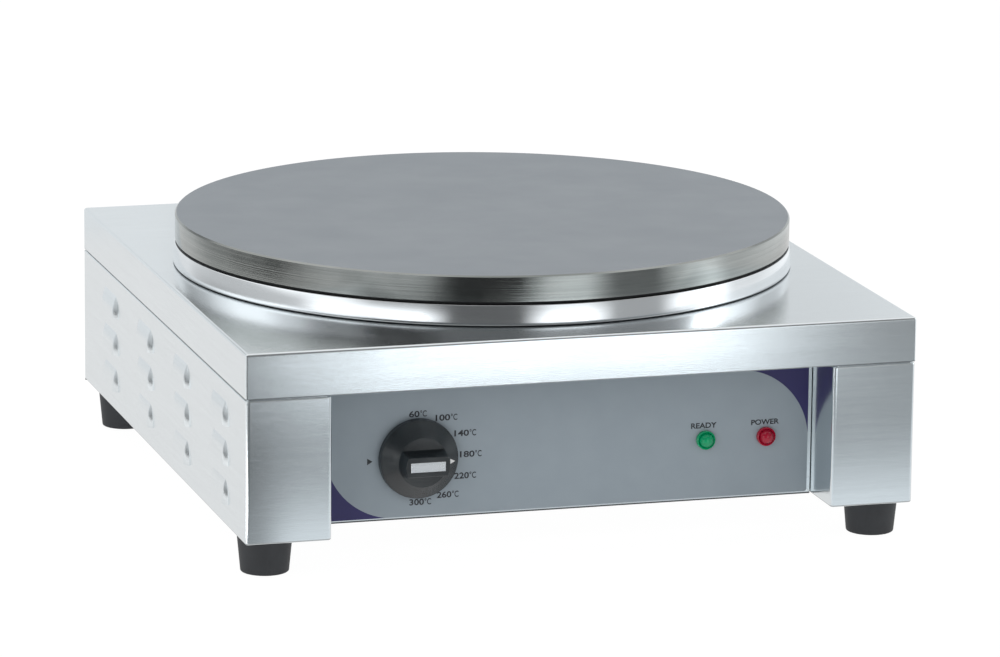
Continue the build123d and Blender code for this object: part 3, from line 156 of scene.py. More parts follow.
# ======== Effects that several finishes share ========
def brushed_grain_group():
    """Fine drawn lines that run across the machine, or to the back on faces that look sideways."""
    tree, given, result = group_tree(
        "Brushed grain",
        "ShaderNodeTree",
        [
            ("Position", DIRECTION, None),
            ("Facing", DIRECTION, None),
            ("Line Height", NUMBER, 0.0004),
            ("Line Length", NUMBER, 0.02),
        ],
        [("Height", NUMBER), ("Streaks", NUMBER)],
    )
    fine = sum_up(tree, "DIVIDE", 1.0, given["Line Height"])
    long = sum_up(tree, "DIVIDE", 1.0, given["Line Length"])
    facing = axes_of(tree, given["Facing"])
    sideways = sum_up(tree, "GREATER_THAN", sum_up(tree, "ABSOLUTE", facing["X"]), 0.7)
    along_x = vector_of(tree, long, fine, fine)
    along_y = vector_of(tree, fine, long, fine)
    chosen = put(
        tree,
        "ShaderNodeMix",
        {"data_type": "VECTOR"},
        {"Factor": sideways, 4: along_x, 5: along_y},
    ).outputs[1]
    stretched = times(tree, given["Position"], chosen)
    feed(tree, result["Height"], noise(tree, stretched, 1.0, Detail=3.0, Roughness=0.65))
    feed(tree, result["Streaks"], noise(tree, stretched, 0.16, Detail=2.0, Roughness=0.5))
    return tree


def handling_group():
    """Soft blotches of handling, and sparse straight hairline scratches in two directions."""
    tree, given, result = group_tree(
        "Handling marks",
        "ShaderNodeTree",
        [
            ("Position", DIRECTION, None),
            ("Blotch Size", NUMBER, 0.06),
            ("Scratch Length", NUMBER, 0.02),
        ],
        [("Blotches", NUMBER), ("Scratches", NUMBER)],
    )
    blotch_scale = sum_up(tree, "DIVIDE", 1.0, given["Blotch Size"])
    blotches = noise(tree, given["Position"], blotch_scale, Detail=4.0, Distortion=0.4)
    long = sum_up(tree, "DIVIDE", 1.0, given["Scratch Length"])
    thin = sum_up(tree, "DIVIDE", 24.0, given["Scratch Length"])
    stretch = vector_of(tree, long, thin, thin)
    hairlines = []
    for turn in ((0.3, 0.5, 0.9), (-0.6, 0.2, -0.5)):
        turned = put(
            tree,
            "ShaderNodeVectorRotate",
            {"rotation_type": "EULER_XYZ"},
            {"Vector": given["Position"], "Rotation": turn},
        ).outputs[0]
        streak = noise(tree, times(tree, turned, stretch), 1.0, Detail=0.0)
        hairlines.append(spread(tree, streak, 0, 1, 0.74, 0.80))
    hairline = sum_up(tree, "MAXIMUM", *hairlines)
    patchy = spread(tree, blotches, 0, 1, 0.52, 0.64)
    feed(tree, result["Blotches"], blotches)
    feed(tree, result["Scratches"], sum_up(tree, "MULTIPLY", hairline, patchy))
    return tree


def lathe_group():
    """Fine rings round the Z axis, as a lathe leaves them, and arcs that fade in and out."""
    tree, given, result = group_tree(
        "Turning marks",
        "ShaderNodeTree",
        [("Position", DIRECTION, None), ("Ring Pitch", NUMBER, 0.0008)],
        [("Height", NUMBER), ("Arcs", NUMBER)],
    )
    axes = axes_of(tree, given["Position"])
    radius = span(tree, axes["X"], axes["Y"])
    turn = sum_up(tree, "ARCTAN2", axes["Y"], axes["X"])
    across = sum_up(tree, "DIVIDE", sum_up(tree, "ADD", radius, axes["Z"]), given["Ring Pitch"])
    ring_lines = put(
        tree,
        "ShaderNodeTexNoise",
        {"noise_dimensions": "1D"},
        {"W": across, "Scale": 1.0, "Detail": 2.0},
    ).outputs["Fac"]
    round_way, other_way = (
        sum_up(tree, "MULTIPLY", sum_up(tree, wave, turn), 3.0) for wave in ("SINE", "COSINE")
    )
    arc_place = vector_of(tree, round_way, other_way, across)
    feed(tree, result["Height"], ring_lines)
    feed(tree, result["Arcs"], noise(tree, arc_place, 0.5, Detail=3.0, Roughness=0.6))
    return tree


def moulded_group():
    """The fine texture of a moulded or cast skin, and slow changes of gloss over it."""
    tree, given, result = group_tree(
        "Moulded skin",
        "ShaderNodeTree",
        [("Position", DIRECTION, None), ("Grain Size", NUMBER, 0.0006)],
        [("Height", NUMBER), ("Gloss", NUMBER)],
    )
    grain_scale = sum_up(tree, "DIVIDE", 1.0, given["Grain Size"])
    slow_scale = sum_up(tree, "MULTIPLY", grain_scale, 0.03)
    grain = noise(tree, given["Position"], grain_scale, Detail=2.0, Roughness=0.6)
    feed(tree, result["Height"], grain)
    feed(tree, result["Gloss"], noise(tree, given["Position"], slow_scale, Detail=3.0))
    return tree


GRAIN, HANDLING = brushed_grain_group(), handling_group()
LATHE, MOULDED = lathe_group(), moulded_group()


# ======== Finishes ========
def new_material(name):
    """An empty material and its tree."""
    finish = bpy.data.materials.new(name)
    finish.use_nodes = True
    finish.node_tree.nodes.clear()
    return finish, finish.node_tree


def new_finish(name):
    """A material with its shader and its coordinates."""
    finish, tree = new_material(name)
    shader = tree.nodes.new("ShaderNodeBsdfPrincipled")
    put(tree, "ShaderNodeOutputMaterial", inputs={0: shader.outputs[0]})
    return finish, tree, shader, tree.nodes.new("ShaderNodeTexCoord").outputs


def effect(tree, group, inputs):
    """One use of a shared effect in a finish."""
    return put(tree, "ShaderNodeGroup", {"node_tree": group}, inputs).outputs


def relief(tree, shader, height, depth, strength):
    """Bump from a height pattern."""
    inputs = {"Height": height, "Distance": depth, "Strength": strength}
    feed(tree, shader.inputs["Normal"], put(tree, "ShaderNodeBump", inputs=inputs).outputs[0])


def painted_seam_shade(tree, place):
    """Painted shade: one in the thin dark shadow lines at the cover's lower edge and the body's
    bottom edge.

    Faces that look up or down stay unshaded.
    """
    rise = axes_of(tree, place["Object"])["Z"]
    facing = axes_of(tree, place["Normal"])["Z"]
    upright = spread(tree, sum_up(tree, "ABSOLUTE", facing), 1.0, 0.0, 0.4, 0.7)
    from_edge = sum_up(tree, "ABSOLUTE", sum_up(tree, "SUBTRACT", rise, COVER_EDGE_Z))
    under_cover = spread(tree, from_edge, 1.0, 0.0, 0.0002, 0.0008)
    at_bottom = spread(tree, rise, 1.0, 0.0, BASE_Z + 0.0006, BASE_Z + 0.0014)
    return sum_up(tree, "MULTIPLY", sum_up(tree, "MAXIMUM", under_cover, at_bottom), upright)


def wear(tree, place, blotch_size, smooth, rough):
    """Roughness that goes with handling: from smooth to rough in blotches, rougher in scratches."""
    marks = effect(tree, HANDLING, {"Position": place["Object"], "Blotch Size": blotch_size})
    blotchy = spread(tree, marks["Blotches"], smooth, rough)
    return sum_up(tree, "MULTIPLY_ADD", marks["Scratches"], 0.05, blotchy)


def sheet_steel(name, light, dark, smooth, rough, line_height, line_length, depth, seams=False):
    """Brushed or drawn sheet metal, with grain and wear and, where asked, painted shade at its
    seams.
    """
    finish, tree, shader, place = new_finish(name)
    lines = {"Line Height": line_height, "Line Length": line_length}
    grain = effect(tree, GRAIN, {"Position": place["Object"], "Facing": place["Normal"], **lines})
    fine = sum_up(tree, "MULTIPLY", grain["Height"], 0.6)
    tone = sum_up(tree, "MULTIPLY_ADD", grain["Streaks"], 0.4, fine)
    colour = blend(tree, spread(tree, tone, 0, 1), dark, light)
    if seams:
        # Painted shade: near-black lines where shadow falls under the cover's edge and along the
        # bottom edge.
        seam_shade_colour = (0.07, 0.072, 0.075)
        colour = blend(tree, painted_seam_shade(tree, place), colour, seam_shade_colour)
    feed(tree, shader.inputs["Base Color"], colour)
    worn = wear(tree, place, 0.07, smooth, rough)
    roughness = sum_up(tree, "MULTIPLY_ADD", grain["Height"], 0.06, worn)
    feed(tree, shader.inputs["Roughness"], roughness)
    shader.inputs["Metallic"].default_value = 1.0
    relief(tree, shader, grain["Height"], depth, 0.6)
    return finish


def turned_metal(name, light, dark, smooth, rough, pitch, depth, seam_z):
    """Metal finished on a lathe round the plate's axis, with a painted shadow line at its seam."""
    finish, tree, shader, place = new_finish(name)
    centred = moved(tree, place["Object"], (0, -PLATE_Y, 0))
    rings = effect(tree, LATHE, {"Position": centred, "Ring Pitch": pitch})
    steel = blend(tree, spread(tree, rings["Arcs"], 0, 1), dark, light)
    rise = axes_of(tree, place["Object"])["Z"]
    # Painted shade: a dark line along the ring's foot, where shadow falls at its join with the
    # cover.
    seam = spread(tree, rise, 1.0, 0.0, seam_z, seam_z + 0.001)
    foot_shade_colour = (0.19, 0.197, 0.205)
    feed(tree, shader.inputs["Base Color"], blend(tree, seam, steel, foot_shade_colour))
    worn = wear(tree, place, 0.05, smooth, rough)
    feed(tree, shader.inputs["Roughness"], sum_up(tree, "MULTIPLY_ADD", seam, 0.3, worn))
    shader.inputs["Metallic"].default_value = 1.0
    relief(tree, shader, rings["Height"], depth, 0.5)
    return finish


def cast_iron(name):
    """The plate: turned cast iron, seasoned and matt on top, barer at its rim, near black facing
    down.
    """
    finish, tree, shader, place = new_finish(name)
    centred = moved(tree, place["Object"], (0, -PLATE_Y, 0))
    rings = effect(tree, LATHE, {"Position": centred, "Ring Pitch": 0.0009})
    pores = effect(tree, MOULDED, {"Position": place["Object"], "Grain Size": 0.0012})
    marks = effect(tree, HANDLING, {"Position": place["Object"], "Blotch Size": 0.09})
    facing = axes_of(tree, place["Normal"])["Z"]
    on_top = spread(tree, facing, 0, 1, 0.80, 0.98)
    # Near black on faces that point down, the chamfer under the rim among them.
    facing_down = spread(tree, facing, 1.0, 0.0, -0.6, -0.3)
    mottle = spread(tree, marks["Blotches"], 0, 1)
    seasoned = blend(tree, mottle, (0.238, 0.263, 0.288), (0.252, 0.277, 0.302))
    arcs = sum_up(tree, "MULTIPLY", rings["Arcs"], 0.4)
    uneven = sum_up(tree, "MULTIPLY_ADD", marks["Blotches"], 0.6, arcs)
    patches = spread(tree, uneven, 0, 1, 0.4, 0.6)
    bare = blend(tree, patches, (0.285, 0.305, 0.295), (0.41, 0.425, 0.412))
    underside_black = (0.02, 0.021, 0.022)
    rim = blend(tree, facing_down, bare, underside_black)
    feed(tree, shader.inputs["Base Color"], blend(tree, on_top, rim, seasoned))
    covered = sum_up(tree, "ADD", on_top, facing_down)
    feed(tree, shader.inputs["Metallic"], spread(tree, covered, 1.0, 0.2, 0, 1))
    smoother = spread(tree, covered, 0.37, 0.0, 0, 1)
    rough_top = spread(tree, pores["Gloss"], 0.46, 0.56)
    feed(tree, shader.inputs["Roughness"], sum_up(tree, "SUBTRACT", rough_top, smoother))
    height = sum_up(tree, "MULTIPLY_ADD", pores["Height"], 0.6, rings["Height"])
    relief(tree, shader, height, 0.00002, 0.7)
    return finish


def moulded(name, colour, paler, smooth, rough, grain_size, depth, coat=0.0, gloss=0.5, rings=None):
    """Moulded plastic or rubber: fine skin, slow changes of gloss, scuffs that pale it a little.

    Rings, where asked, are the pitch of the mould's turning marks round the knob's axis, and they
    take the place of the fine skin.
    """
    finish, tree, shader, place = new_finish(name)
    skin = effect(tree, MOULDED, {"Position": place["Object"], "Grain Size": grain_size})
    sizes = {"Blotch Size": 0.012, "Scratch Length": 0.006}
    marks = effect(tree, HANDLING, {"Position": place["Object"], **sizes})
    paling = spread(tree, skin["Gloss"], 0, 0.5)
    scuffed = sum_up(tree, "MULTIPLY_ADD", marks["Scratches"], 0.2, paling)
    feed(tree, shader.inputs["Base Color"], blend(tree, scuffed, colour, paler))
    feed(tree, shader.inputs["Roughness"], spread(tree, skin["Gloss"], smooth, rough))
    shader.inputs["Specular IOR Level"].default_value = gloss
    shader.inputs["Coat Weight"].default_value = coat
    shader.inputs["Coat Roughness"].default_value = 0.15
    if rings:
        centred = moved(tree, place["Object"], (-DIAL_X, 0, -DIAL_Z))
        upright = moved(tree, centred, (0, 0, 0), (90, 0, 0))
        turned = effect(tree, LATHE, {"Position": upright, "Ring Pitch": rings})
        relief(tree, shader, turned["Height"], depth, 1.0)
    else:
        relief(tree, shader, skin["Height"], depth, 0.6)
    return finish


def printed_panel(name):
    """The overlay: blue-grey film, with a deep violet field outside a large arc at two corners."""
    finish, tree, shader, place = new_finish(name)
    axes = axes_of(tree, place["Object"])

    def corner_field(middle_x, middle_z, radius, side):
        """One outside the arc about a middle, up and right of it, or down and left for side -1."""
        across = sum_up(tree, "MULTIPLY", sum_up(tree, "SUBTRACT", axes["X"], middle_x), side)
        upward = sum_up(tree, "MULTIPLY", sum_up(tree, "SUBTRACT", axes["Z"], middle_z), side)
        outside = sum_up(tree, "GREATER_THAN", span(tree, across, upward), radius)
        in_quarter = sum_up(tree, "GREATER_THAN", sum_up(tree, "MINIMUM", across, upward), 0.0)
        return sum_up(tree, "MULTIPLY", outside, in_quarter)

    top_right = corner_field(0.1112, BASE_Z + 0.035, 0.048, 1.0)
    bottom_left = corner_field(-0.1095, BASE_Z + 0.048, 0.047, -1.0)
    corner = sum_up(tree, "MAXIMUM", top_right, bottom_left)
    skin = effect(tree, MOULDED, {"Position": place["Object"], "Grain Size": 0.0005})
    marks = effect(tree, HANDLING, {"Position": place["Object"], "Blotch Size": 0.05})
    shade = spread(tree, skin["Gloss"], 0, 1)
    ground = blend(tree, shade, (0.275, 0.325, 0.365), (0.29, 0.34, 0.38))
    field = blend(tree, shade, (0.018, 0.014, 0.105), (0.021, 0.016, 0.112))
    feed(tree, shader.inputs["Base Color"], blend(tree, corner, ground, field))
    feed(tree, shader.inputs["Roughness"], spread(tree, marks["Blotches"], 0.34, 0.42))
    relief(tree, shader, skin["Height"], 0.00001, 0.5)
    return finish


def indicator_lens(name, colour, deep):
    """A coloured lens that is lit by the room and not by its lamp."""
    finish, tree, shader, place = new_finish(name)
    skin = effect(tree, MOULDED, {"Position": place["Object"], "Grain Size": 0.002})
    tint = blend(tree, spread(tree, skin["Gloss"], 0, 1), deep, colour)
    feed(tree, shader.inputs["Base Color"], tint)
    feed(tree, shader.inputs["Roughness"], spread(tree, skin["Gloss"], 0.08, 0.16))
    relief(tree, shader, skin["Height"], 0.00003, 0.3)
    return finish


def fibre_mat(name):
    """Mineral wool: pale, matt and fibrous."""
    finish, tree, shader, place = new_finish(name)
    lines = {"Line Height": 0.0006, "Line Length": 0.006}
    fibres = effect(tree, GRAIN, {"Position": place["Object"], "Facing": place["Normal"], **lines})
    tufts = effect(tree, MOULDED, {"Position": place["Object"], "Grain Size": 0.004})
    pale = spread(tree, fibres["Height"], 0, 1)
    wool = blend(tree, pale, (0.62, 0.58, 0.47), (0.8, 0.77, 0.68))
    feed(tree, shader.inputs["Base Color"], wool)
    feed(tree, shader.inputs["Roughness"], spread(tree, tufts["Gloss"], 0.88, 0.98))
    relief(tree, shader, sum_up(tree, "ADD", fibres["Height"], tufts["Height"]), 0.0012, 0.8)
    return finish


FINISHES = {
    "stainless": sheet_steel(
        "brushed_stainless",
        light=(0.875, 0.92, 0.94),
        dark=(0.80, 0.84, 0.86),
        smooth=0.11,
        rough=0.16,
        line_height=0.0004,
        line_length=0.009,
        depth=0.00003,
        # The sheets' seams carry painted shade.
        seams=True,
    ),
    "polished_steel": turned_metal(
        "polished_ring_steel",
        light=(0.90, 0.92, 0.935),
        dark=(0.85, 0.87, 0.885),
        smooth=0.10,
        rough=0.14,
        pitch=0.0012,
        depth=0.000002,
        seam_z=RING_FOOT_Z + 0.0005,
    ),
    "plated_steel": sheet_steel(
        "zinc_plated_steel",
        light=(0.78, 0.79, 0.78),
        dark=(0.60, 0.62, 0.63),
        smooth=0.30,
        rough=0.42,
        line_height=0.0012,
        line_length=0.004,
        depth=0.00001,
    ),
    "plain_steel": sheet_steel(
        "bare_mild_steel",
        light=(0.56, 0.56, 0.57),
        dark=(0.38, 0.38, 0.39),
        smooth=0.38,
        rough=0.52,
        line_height=0.0008,
        line_length=0.01,
        depth=0.00002,
    ),
    "iron": cast_iron("seasoned_cast_iron"),
    "overlay": printed_panel("printed_overlay_film"),
    "black_plastic": moulded(
        "satin_black_plastic",
        colour=(0.006, 0.008, 0.009),
        paler=(0.012, 0.014, 0.016),
        smooth=0.22,
        rough=0.28,
        grain_size=0.0004,
        depth=0.000004,
        gloss=0.85,
    ),
    "bright_insert": sheet_steel(
        "bright_insert_foil",
        light=(0.90, 0.90, 0.91),
        dark=(0.80, 0.81, 0.83),
        smooth=0.22,
        rough=0.28,
        line_height=0.0003,
        line_length=0.01,
        depth=0.000008,
    ),
    "green_lens": indicator_lens("green_lens_plastic", (0.0, 0.46, 0.19), (0.0, 0.28, 0.11)),
    "red_lens": indicator_lens("red_lens_plastic", (0.50, 0.01, 0.045), (0.30, 0.004, 0.02)),
    "black_rubber": moulded(
        "black_foot_rubber",
        colour=(0.016, 0.018, 0.021),
        paler=(0.05, 0.054, 0.06),
        smooth=0.52,
        rough=0.66,
        grain_size=0.0007,
        depth=0.00004,
    ),
    "ceramic": moulded(
        "white_terminal_ceramic",
        colour=(0.78, 0.76, 0.70),
        paler=(0.84, 0.82, 0.78),
        smooth=0.18,
        rough=0.3,
        grain_size=0.001,
        depth=0.00001,
        coat=0.5,
    ),
    "insulation": fibre_mat("mineral_wool"),
    "element_sheath": sheet_steel(
        "heat_tinted_sheath",
        light=(0.36, 0.31, 0.27),
        dark=(0.17, 0.14, 0.13),
        smooth=0.36,
        rough=0.5,
        line_height=0.001,
        line_length=0.006,
        depth=0.00001,
    ),
    "copper_tube": sheet_steel(
        "drawn_copper",
        light=(0.86, 0.45, 0.30),
        dark=(0.60, 0.27, 0.17),
        smooth=0.26,
        rough=0.4,
        line_height=0.0006,
        line_length=0.006,
        depth=0.000006,
    ),
    "brass": sheet_steel(
        "turned_brass",
        light=(0.86, 0.68, 0.36),
        dark=(0.64, 0.47, 0.22),
        smooth=0.25,
        rough=0.38,
        line_height=0.0005,
        line_length=0.004,
        depth=0.000008,
    ),
    "brown_lead": moulded(
        "brown_silicone_sleeve",
        colour=(0.15, 0.055, 0.025),
        paler=(0.22, 0.10, 0.055),
        smooth=0.42,
        rough=0.55,
        grain_size=0.0005,
        depth=0.00002,
    ),
    "yellow_lead": moulded(
        "earth_lead_sleeve",
        colour=(0.55, 0.47, 0.03),
        paler=(0.62, 0.55, 0.12),
        smooth=0.42,
        rough=0.55,
        grain_size=0.0005,
        depth=0.00002,
    ),
}
KNOB_SKIN = moulded(
    "turned_knob_plastic",
    colour=(0.003, 0.006, 0.008),
    paler=(0.008, 0.012, 0.015),
    smooth=0.20,
    rough=0.26,
    grain_size=0.0004,
    depth=0.00008,
    gloss=0.85,
    rings=0.00035,
)
INK = {"smooth": 0.4, "rough": 0.5, "grain_size": 0.0004, "depth": 0.000004}
DARK_INK = moulded("dark_print_ink", (0.02, 0.022, 0.026), (0.035, 0.038, 0.044), **INK)
WHITE_INK = moulded("white_print_ink", (0.78, 0.78, 0.78), (0.84, 0.84, 0.84), **INK)


def dress_nodes():
    """Gives each carried-over node the finish of its slot, and the knob its own."""
    for name, piece in nodes.items():
        slot_name = piece.data.materials[0].name.split(".")[0]
        piece.data.materials[0] = KNOB_SKIN if name == "thermostat_knob" else FINISHES[slot_name]
        for polygon in piece.data.polygons:
            polygon.use_smooth = True


# ======== Helpers for pieces ========
def in_scene(name, data):
    """A new object with its data, in the scene."""
    made = bpy.data.objects.new(name, data)
    bpy.context.scene.collection.objects.link(made)
    return made


def plain_mesh(name, corners, faces):
    """A mesh from its corners and faces."""
    mesh = bpy.data.meshes.new(name)
    mesh.from_pydata(corners, [], faces)
    return mesh


def evaluated_mesh(holder):
    """The plain mesh that an object's modifiers or letters come to."""
    graph = bpy.context.evaluated_depsgraph_get()
    return bpy.data.meshes.new_from_object(holder.evaluated_get(graph), depsgraph=graph)


def finish_piece(piece, body, slot_name, *stands_for):
    """Hands a finished piece to its body."""
    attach(piece, body)
    if stands_for:
        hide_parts(*stands_for)


# ======== The polished ring, made by Geometry Nodes ========
def turned_tree(name, sizes, corners):
    """A tree that turns a closed profile round an upright axis.

    Each corner is three lists of (size name, sign): its radius, its height and its rounding.
    """
    tree, given, result = group_tree(
        name,
        "GeometryNodeTree",
        [("Geometry", SHAPE, None)]
        + [(label, NUMBER, value) for label, value in sizes.items()]
        + [("Place", DIRECTION, (0.0, 0.0, 0.0)), ("Segments", "NodeSocketInt", 256)]
        + [("Finish", "NodeSocketMaterial", None)],
        [("Geometry", SHAPE)],
    )

    def total(terms):
        """The sum of these sizes, each times its sign."""
        value = 0.0
        for label, sign in terms:
            value = sum_up(tree, "MULTIPLY_ADD", given[label], sign, value)
        return value

    def step(kind, shape, settings=None, **inputs):
        """One step of the build, from the shape that the step before gives."""
        return put(tree, kind, settings, {0: shape, **inputs}).outputs[0]

    start = put(tree, "FunctionNodeInputVector", {"vector": (0, 0, 0)}).outputs[0]
    dots = put(tree, "GeometryNodePoints", inputs={"Count": len(corners), "Position": start})
    index = tree.nodes.new("GeometryNodeInputIndex").outputs[0]
    places = put(tree, "GeometryNodeIndexSwitch", {"data_type": "VECTOR"})
    roundings = put(tree, "GeometryNodeIndexSwitch", {"data_type": "FLOAT"})
    for switch in (places, roundings):
        while len(switch.index_switch_items) < len(corners):
            switch.index_switch_items.new()
        feed(tree, switch.inputs["Index"], index)
    hub = 0.001  # the radius of the circle that the profile is swept along
    for number, (radius, height, rounding) in enumerate(corners):
        out_by = sum_up(tree, "SUBTRACT", total(radius), hub)
        down_by = sum_up(tree, "MULTIPLY", total(height), -1.0)
        feed(tree, places.inputs[number + 1], vector_of(tree, out_by, down_by, 0.0))
        feed(tree, roundings.inputs[number + 1], total(rounding))
    placed = step("GeometryNodeSetPosition", dots.outputs[0], Position=places.outputs[0])
    strung = step("GeometryNodePointsToCurves", placed)
    closed = step("GeometryNodeSetSplineCyclic", strung, Cyclic=True)
    rounded = put(
        tree,
        "GeometryNodeFilletCurve",
        {"mode": "POLY"},
        {"Curve": closed, "Count": 6, "Radius": roundings.outputs[0], "Limit Radius": True},
    ).outputs[0]
    path = put(
        tree,
        "GeometryNodeCurvePrimitiveCircle",
        {"mode": "RADIUS"},
        {"Resolution": given["Segments"], "Radius": hub},
    ).outputs[0]
    swept = put(tree, "GeometryNodeCurveToMesh", inputs={"Curve": path, "Profile Curve": rounded})
    set_down = step("GeometryNodeTransform", swept.outputs[0], Translation=given["Place"])
    real = step("GeometryNodeRealizeInstances", set_down)
    feed(tree, result["Geometry"], step("GeometryNodeSetMaterial", real, Material=given["Finish"]))
    return tree


def made_by_nodes(name, tree, values):
    """The plain mesh that a tree gives for its values, in a piece of its own."""
    piece = in_scene(name, bpy.data.meshes.new(name + "_start"))
    modifier = piece.modifiers.new("build", "NODES")
    modifier.node_group = tree
    for item in tree.interface.items_tree:
        if item.in_out == "INPUT" and item.name in values:
            modifier[item.identifier] = values[item.name]
    finished = evaluated_mesh(piece)
    piece.modifiers.clear()
    piece.data = finished
    finished.name = name
    return piece


def clean_shell(piece, sharp_angle=35.0):
    """Merges doubles, turns the faces outwards and marks the folds sharper than those degrees."""
    shell = bmesh.new()
    shell.from_mesh(piece.data)
    bmesh.ops.remove_doubles(shell, verts=shell.verts, dist=1e-6)
    bmesh.ops.recalc_face_normals(shell, faces=shell.faces)
    for face in shell.faces:
        face.smooth = True
    for edge in shell.edges:
        edge.smooth = edge.calc_face_angle(0.0) < math.radians(sharp_angle)
    shell.to_mesh(piece.data)
    shell.free()
    piece.data.update()


def plate_ring():
    """The ring under the plate: a wall that widens to a rolled foot, with a flange at each end."""
    low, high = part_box("plate_ring")
    sizes = {
        "Inside": 0.189,
        "Wall": 0.2003,
        "Foot": 0.2014,
        "Bottom": low.z,
        "Top": high.z,
        "Sheet": 0.0012,
        "Top Fold": 0.0004,
        "Foot Fold": 0.0018,
        "Sweep": 0.002,
    }
    corners = [
        ([("Inside", 1)], [("Bottom", 1)], []),
        ([("Foot", 1)], [("Bottom", 1)], [("Foot Fold", 1)]),
        ([("Foot", 1)], [("Bottom", 1), ("Sheet", 2)], [("Sweep", 1)]),
        ([("Wall", 1)], [("Top", 1)], [("Top Fold", 1)]),
        ([("Inside", 1)], [("Top", 1)], []),
        ([("Inside", 1)], [("Top", 1), ("Sheet", -1)], []),
        ([("Wall", 1), ("Sheet", -1)], [("Top", 1), ("Sheet", -1)], []),
        ([("Foot", 1), ("Sheet", -1.5)], [("Bottom", 1), ("Sheet", 1)], []),
        ([("Inside", 1)], [("Bottom", 1), ("Sheet", 1)], []),
    ]
    tree = turned_tree("Plate ring", sizes, corners)
    values = {"Place": (0.0, PLATE_Y, 0.0), "Segments": 320, "Finish": FINISHES["polished_steel"]}
    piece = made_by_nodes("plate_ring_polished", tree, values)
    clean_shell(piece)
    finish_piece(piece, MACHINE, "polished_steel", "plate_ring")


# ======== Print on the overlay and the knob ========
def flat_text(words, height, width, weight):
    """Words as a flat mesh about their middle, in their own XY plane, of a height and a width."""
    letters = bpy.data.curves.new("letters", "FONT")
    letters.body = words
    letters.offset = weight
    letters.resolution_u = 4
    holder = in_scene("letters", letters)
    flat = evaluated_mesh(holder)
    bpy.data.objects.remove(holder)
    low = Vector(map(min, zip(*(v.co for v in flat.vertices))))
    high = Vector(map(max, zip(*(v.co for v in flat.vertices))))
    size = high - low
    to_size = Matrix.Diagonal((width / size.x, height / size.y, 1, 1))
    flat.transform(to_size @ Matrix.Translation(-(low + high) / 2))
    return flat


def as_thin_piece(name, flat, thickness, ink):
    """A piece of print, from flat faces given a thickness towards the front."""
    raised = bmesh.ops.extrude_face_region(flat, geom=flat.faces[:])
    for vertex in (item for item in raised["geom"] if isinstance(item, bmesh.types.BMVert)):
        vertex.co.y -= thickness
    bmesh.ops.recalc_face_normals(flat, faces=flat.faces)
    mesh = bpy.data.meshes.new(name)
    flat.to_mesh(mesh)
    flat.free()
    mesh.materials.append(ink)
    return in_scene(name, mesh)


def print_on_overlay(name, parts):
    """Flat shapes set on the overlay, each about its own place, as one thin piece of dark print."""
    whole = bmesh.new()
    for flat, x, z in parts:
        upright = Matrix.Rotation(math.radians(90), 4, "X")
        flat.transform(Matrix.Translation((x, OVERLAY_FACE, z)) @ upright)
        whole.from_mesh(flat)
        bpy.data.meshes.remove(flat)
    bmesh.ops.remove_doubles(whole, verts=whole.verts, dist=1e-7)
    for face in whole.faces:
        face.normal_update()
        if face.normal.y > 0:
            face.normal_flip()
    finish_piece(as_thin_piece(name, whole, 0.00006, DARK_INK), MACHINE, "overlay")


def dial_print():
    """Temperatures round the dial: bold figures with a light degree sign and letter after each."""
    marks = [  # figures, their middle's X and its height above the body's bottom edge, whole width
        ("60", -0.0969, 0.0669, 0.0113),
        ("100", -0.0785, 0.0636, 0.0140),
        ("140", -0.0663, 0.0530, 0.0140),
        ("180", -0.0626, 0.0394, 0.0140),
        ("220", -0.0661, 0.0258, 0.0140),
        ("260", -0.0773, 0.0143, 0.0140),
        ("300", -0.0950, 0.0106, 0.0140),
    ]
    figure_height, unit_height, unit_width, gap = 0.0040, 0.0042, 0.0042, 0.0004
    parts = []
    for figures, x, rise, width in marks:
        figure_width = width - unit_width - gap
        figure_x = x - width / 2 + figure_width / 2
        unit_x = x + width / 2 - unit_width / 2
        unit_z = BASE_Z + rise + (unit_height - figure_height) / 2
        bold = flat_text(figures, figure_height, figure_width, 0.022)
        light = flat_text("°C", unit_height, unit_width, 0.012)
        parts += [(bold, figure_x, BASE_Z + rise), (light, unit_x, unit_z)]
    corners = [(-0.0016, 0.0021, 0), (-0.0016, -0.0021, 0), (0.0018, 0.0, 0)]
    parts.append((plain_mesh("arrow", corners, [(0, 1, 2)]), -0.1277, BASE_Z + 0.0382))
    print_on_overlay("dial_print", parts)


def lamp_print():
    """The words over the two lamps."""
    rise, height, weight = BASE_Z + 0.0484, 0.0035, 0.025
    parts = [
        (flat_text("READY", height, 0.0169, weight), 0.08975, rise),
        (flat_text("POWER", height, 0.0185, weight), 0.1304, rise),
    ]
    print_on_overlay("lamp_print", parts)


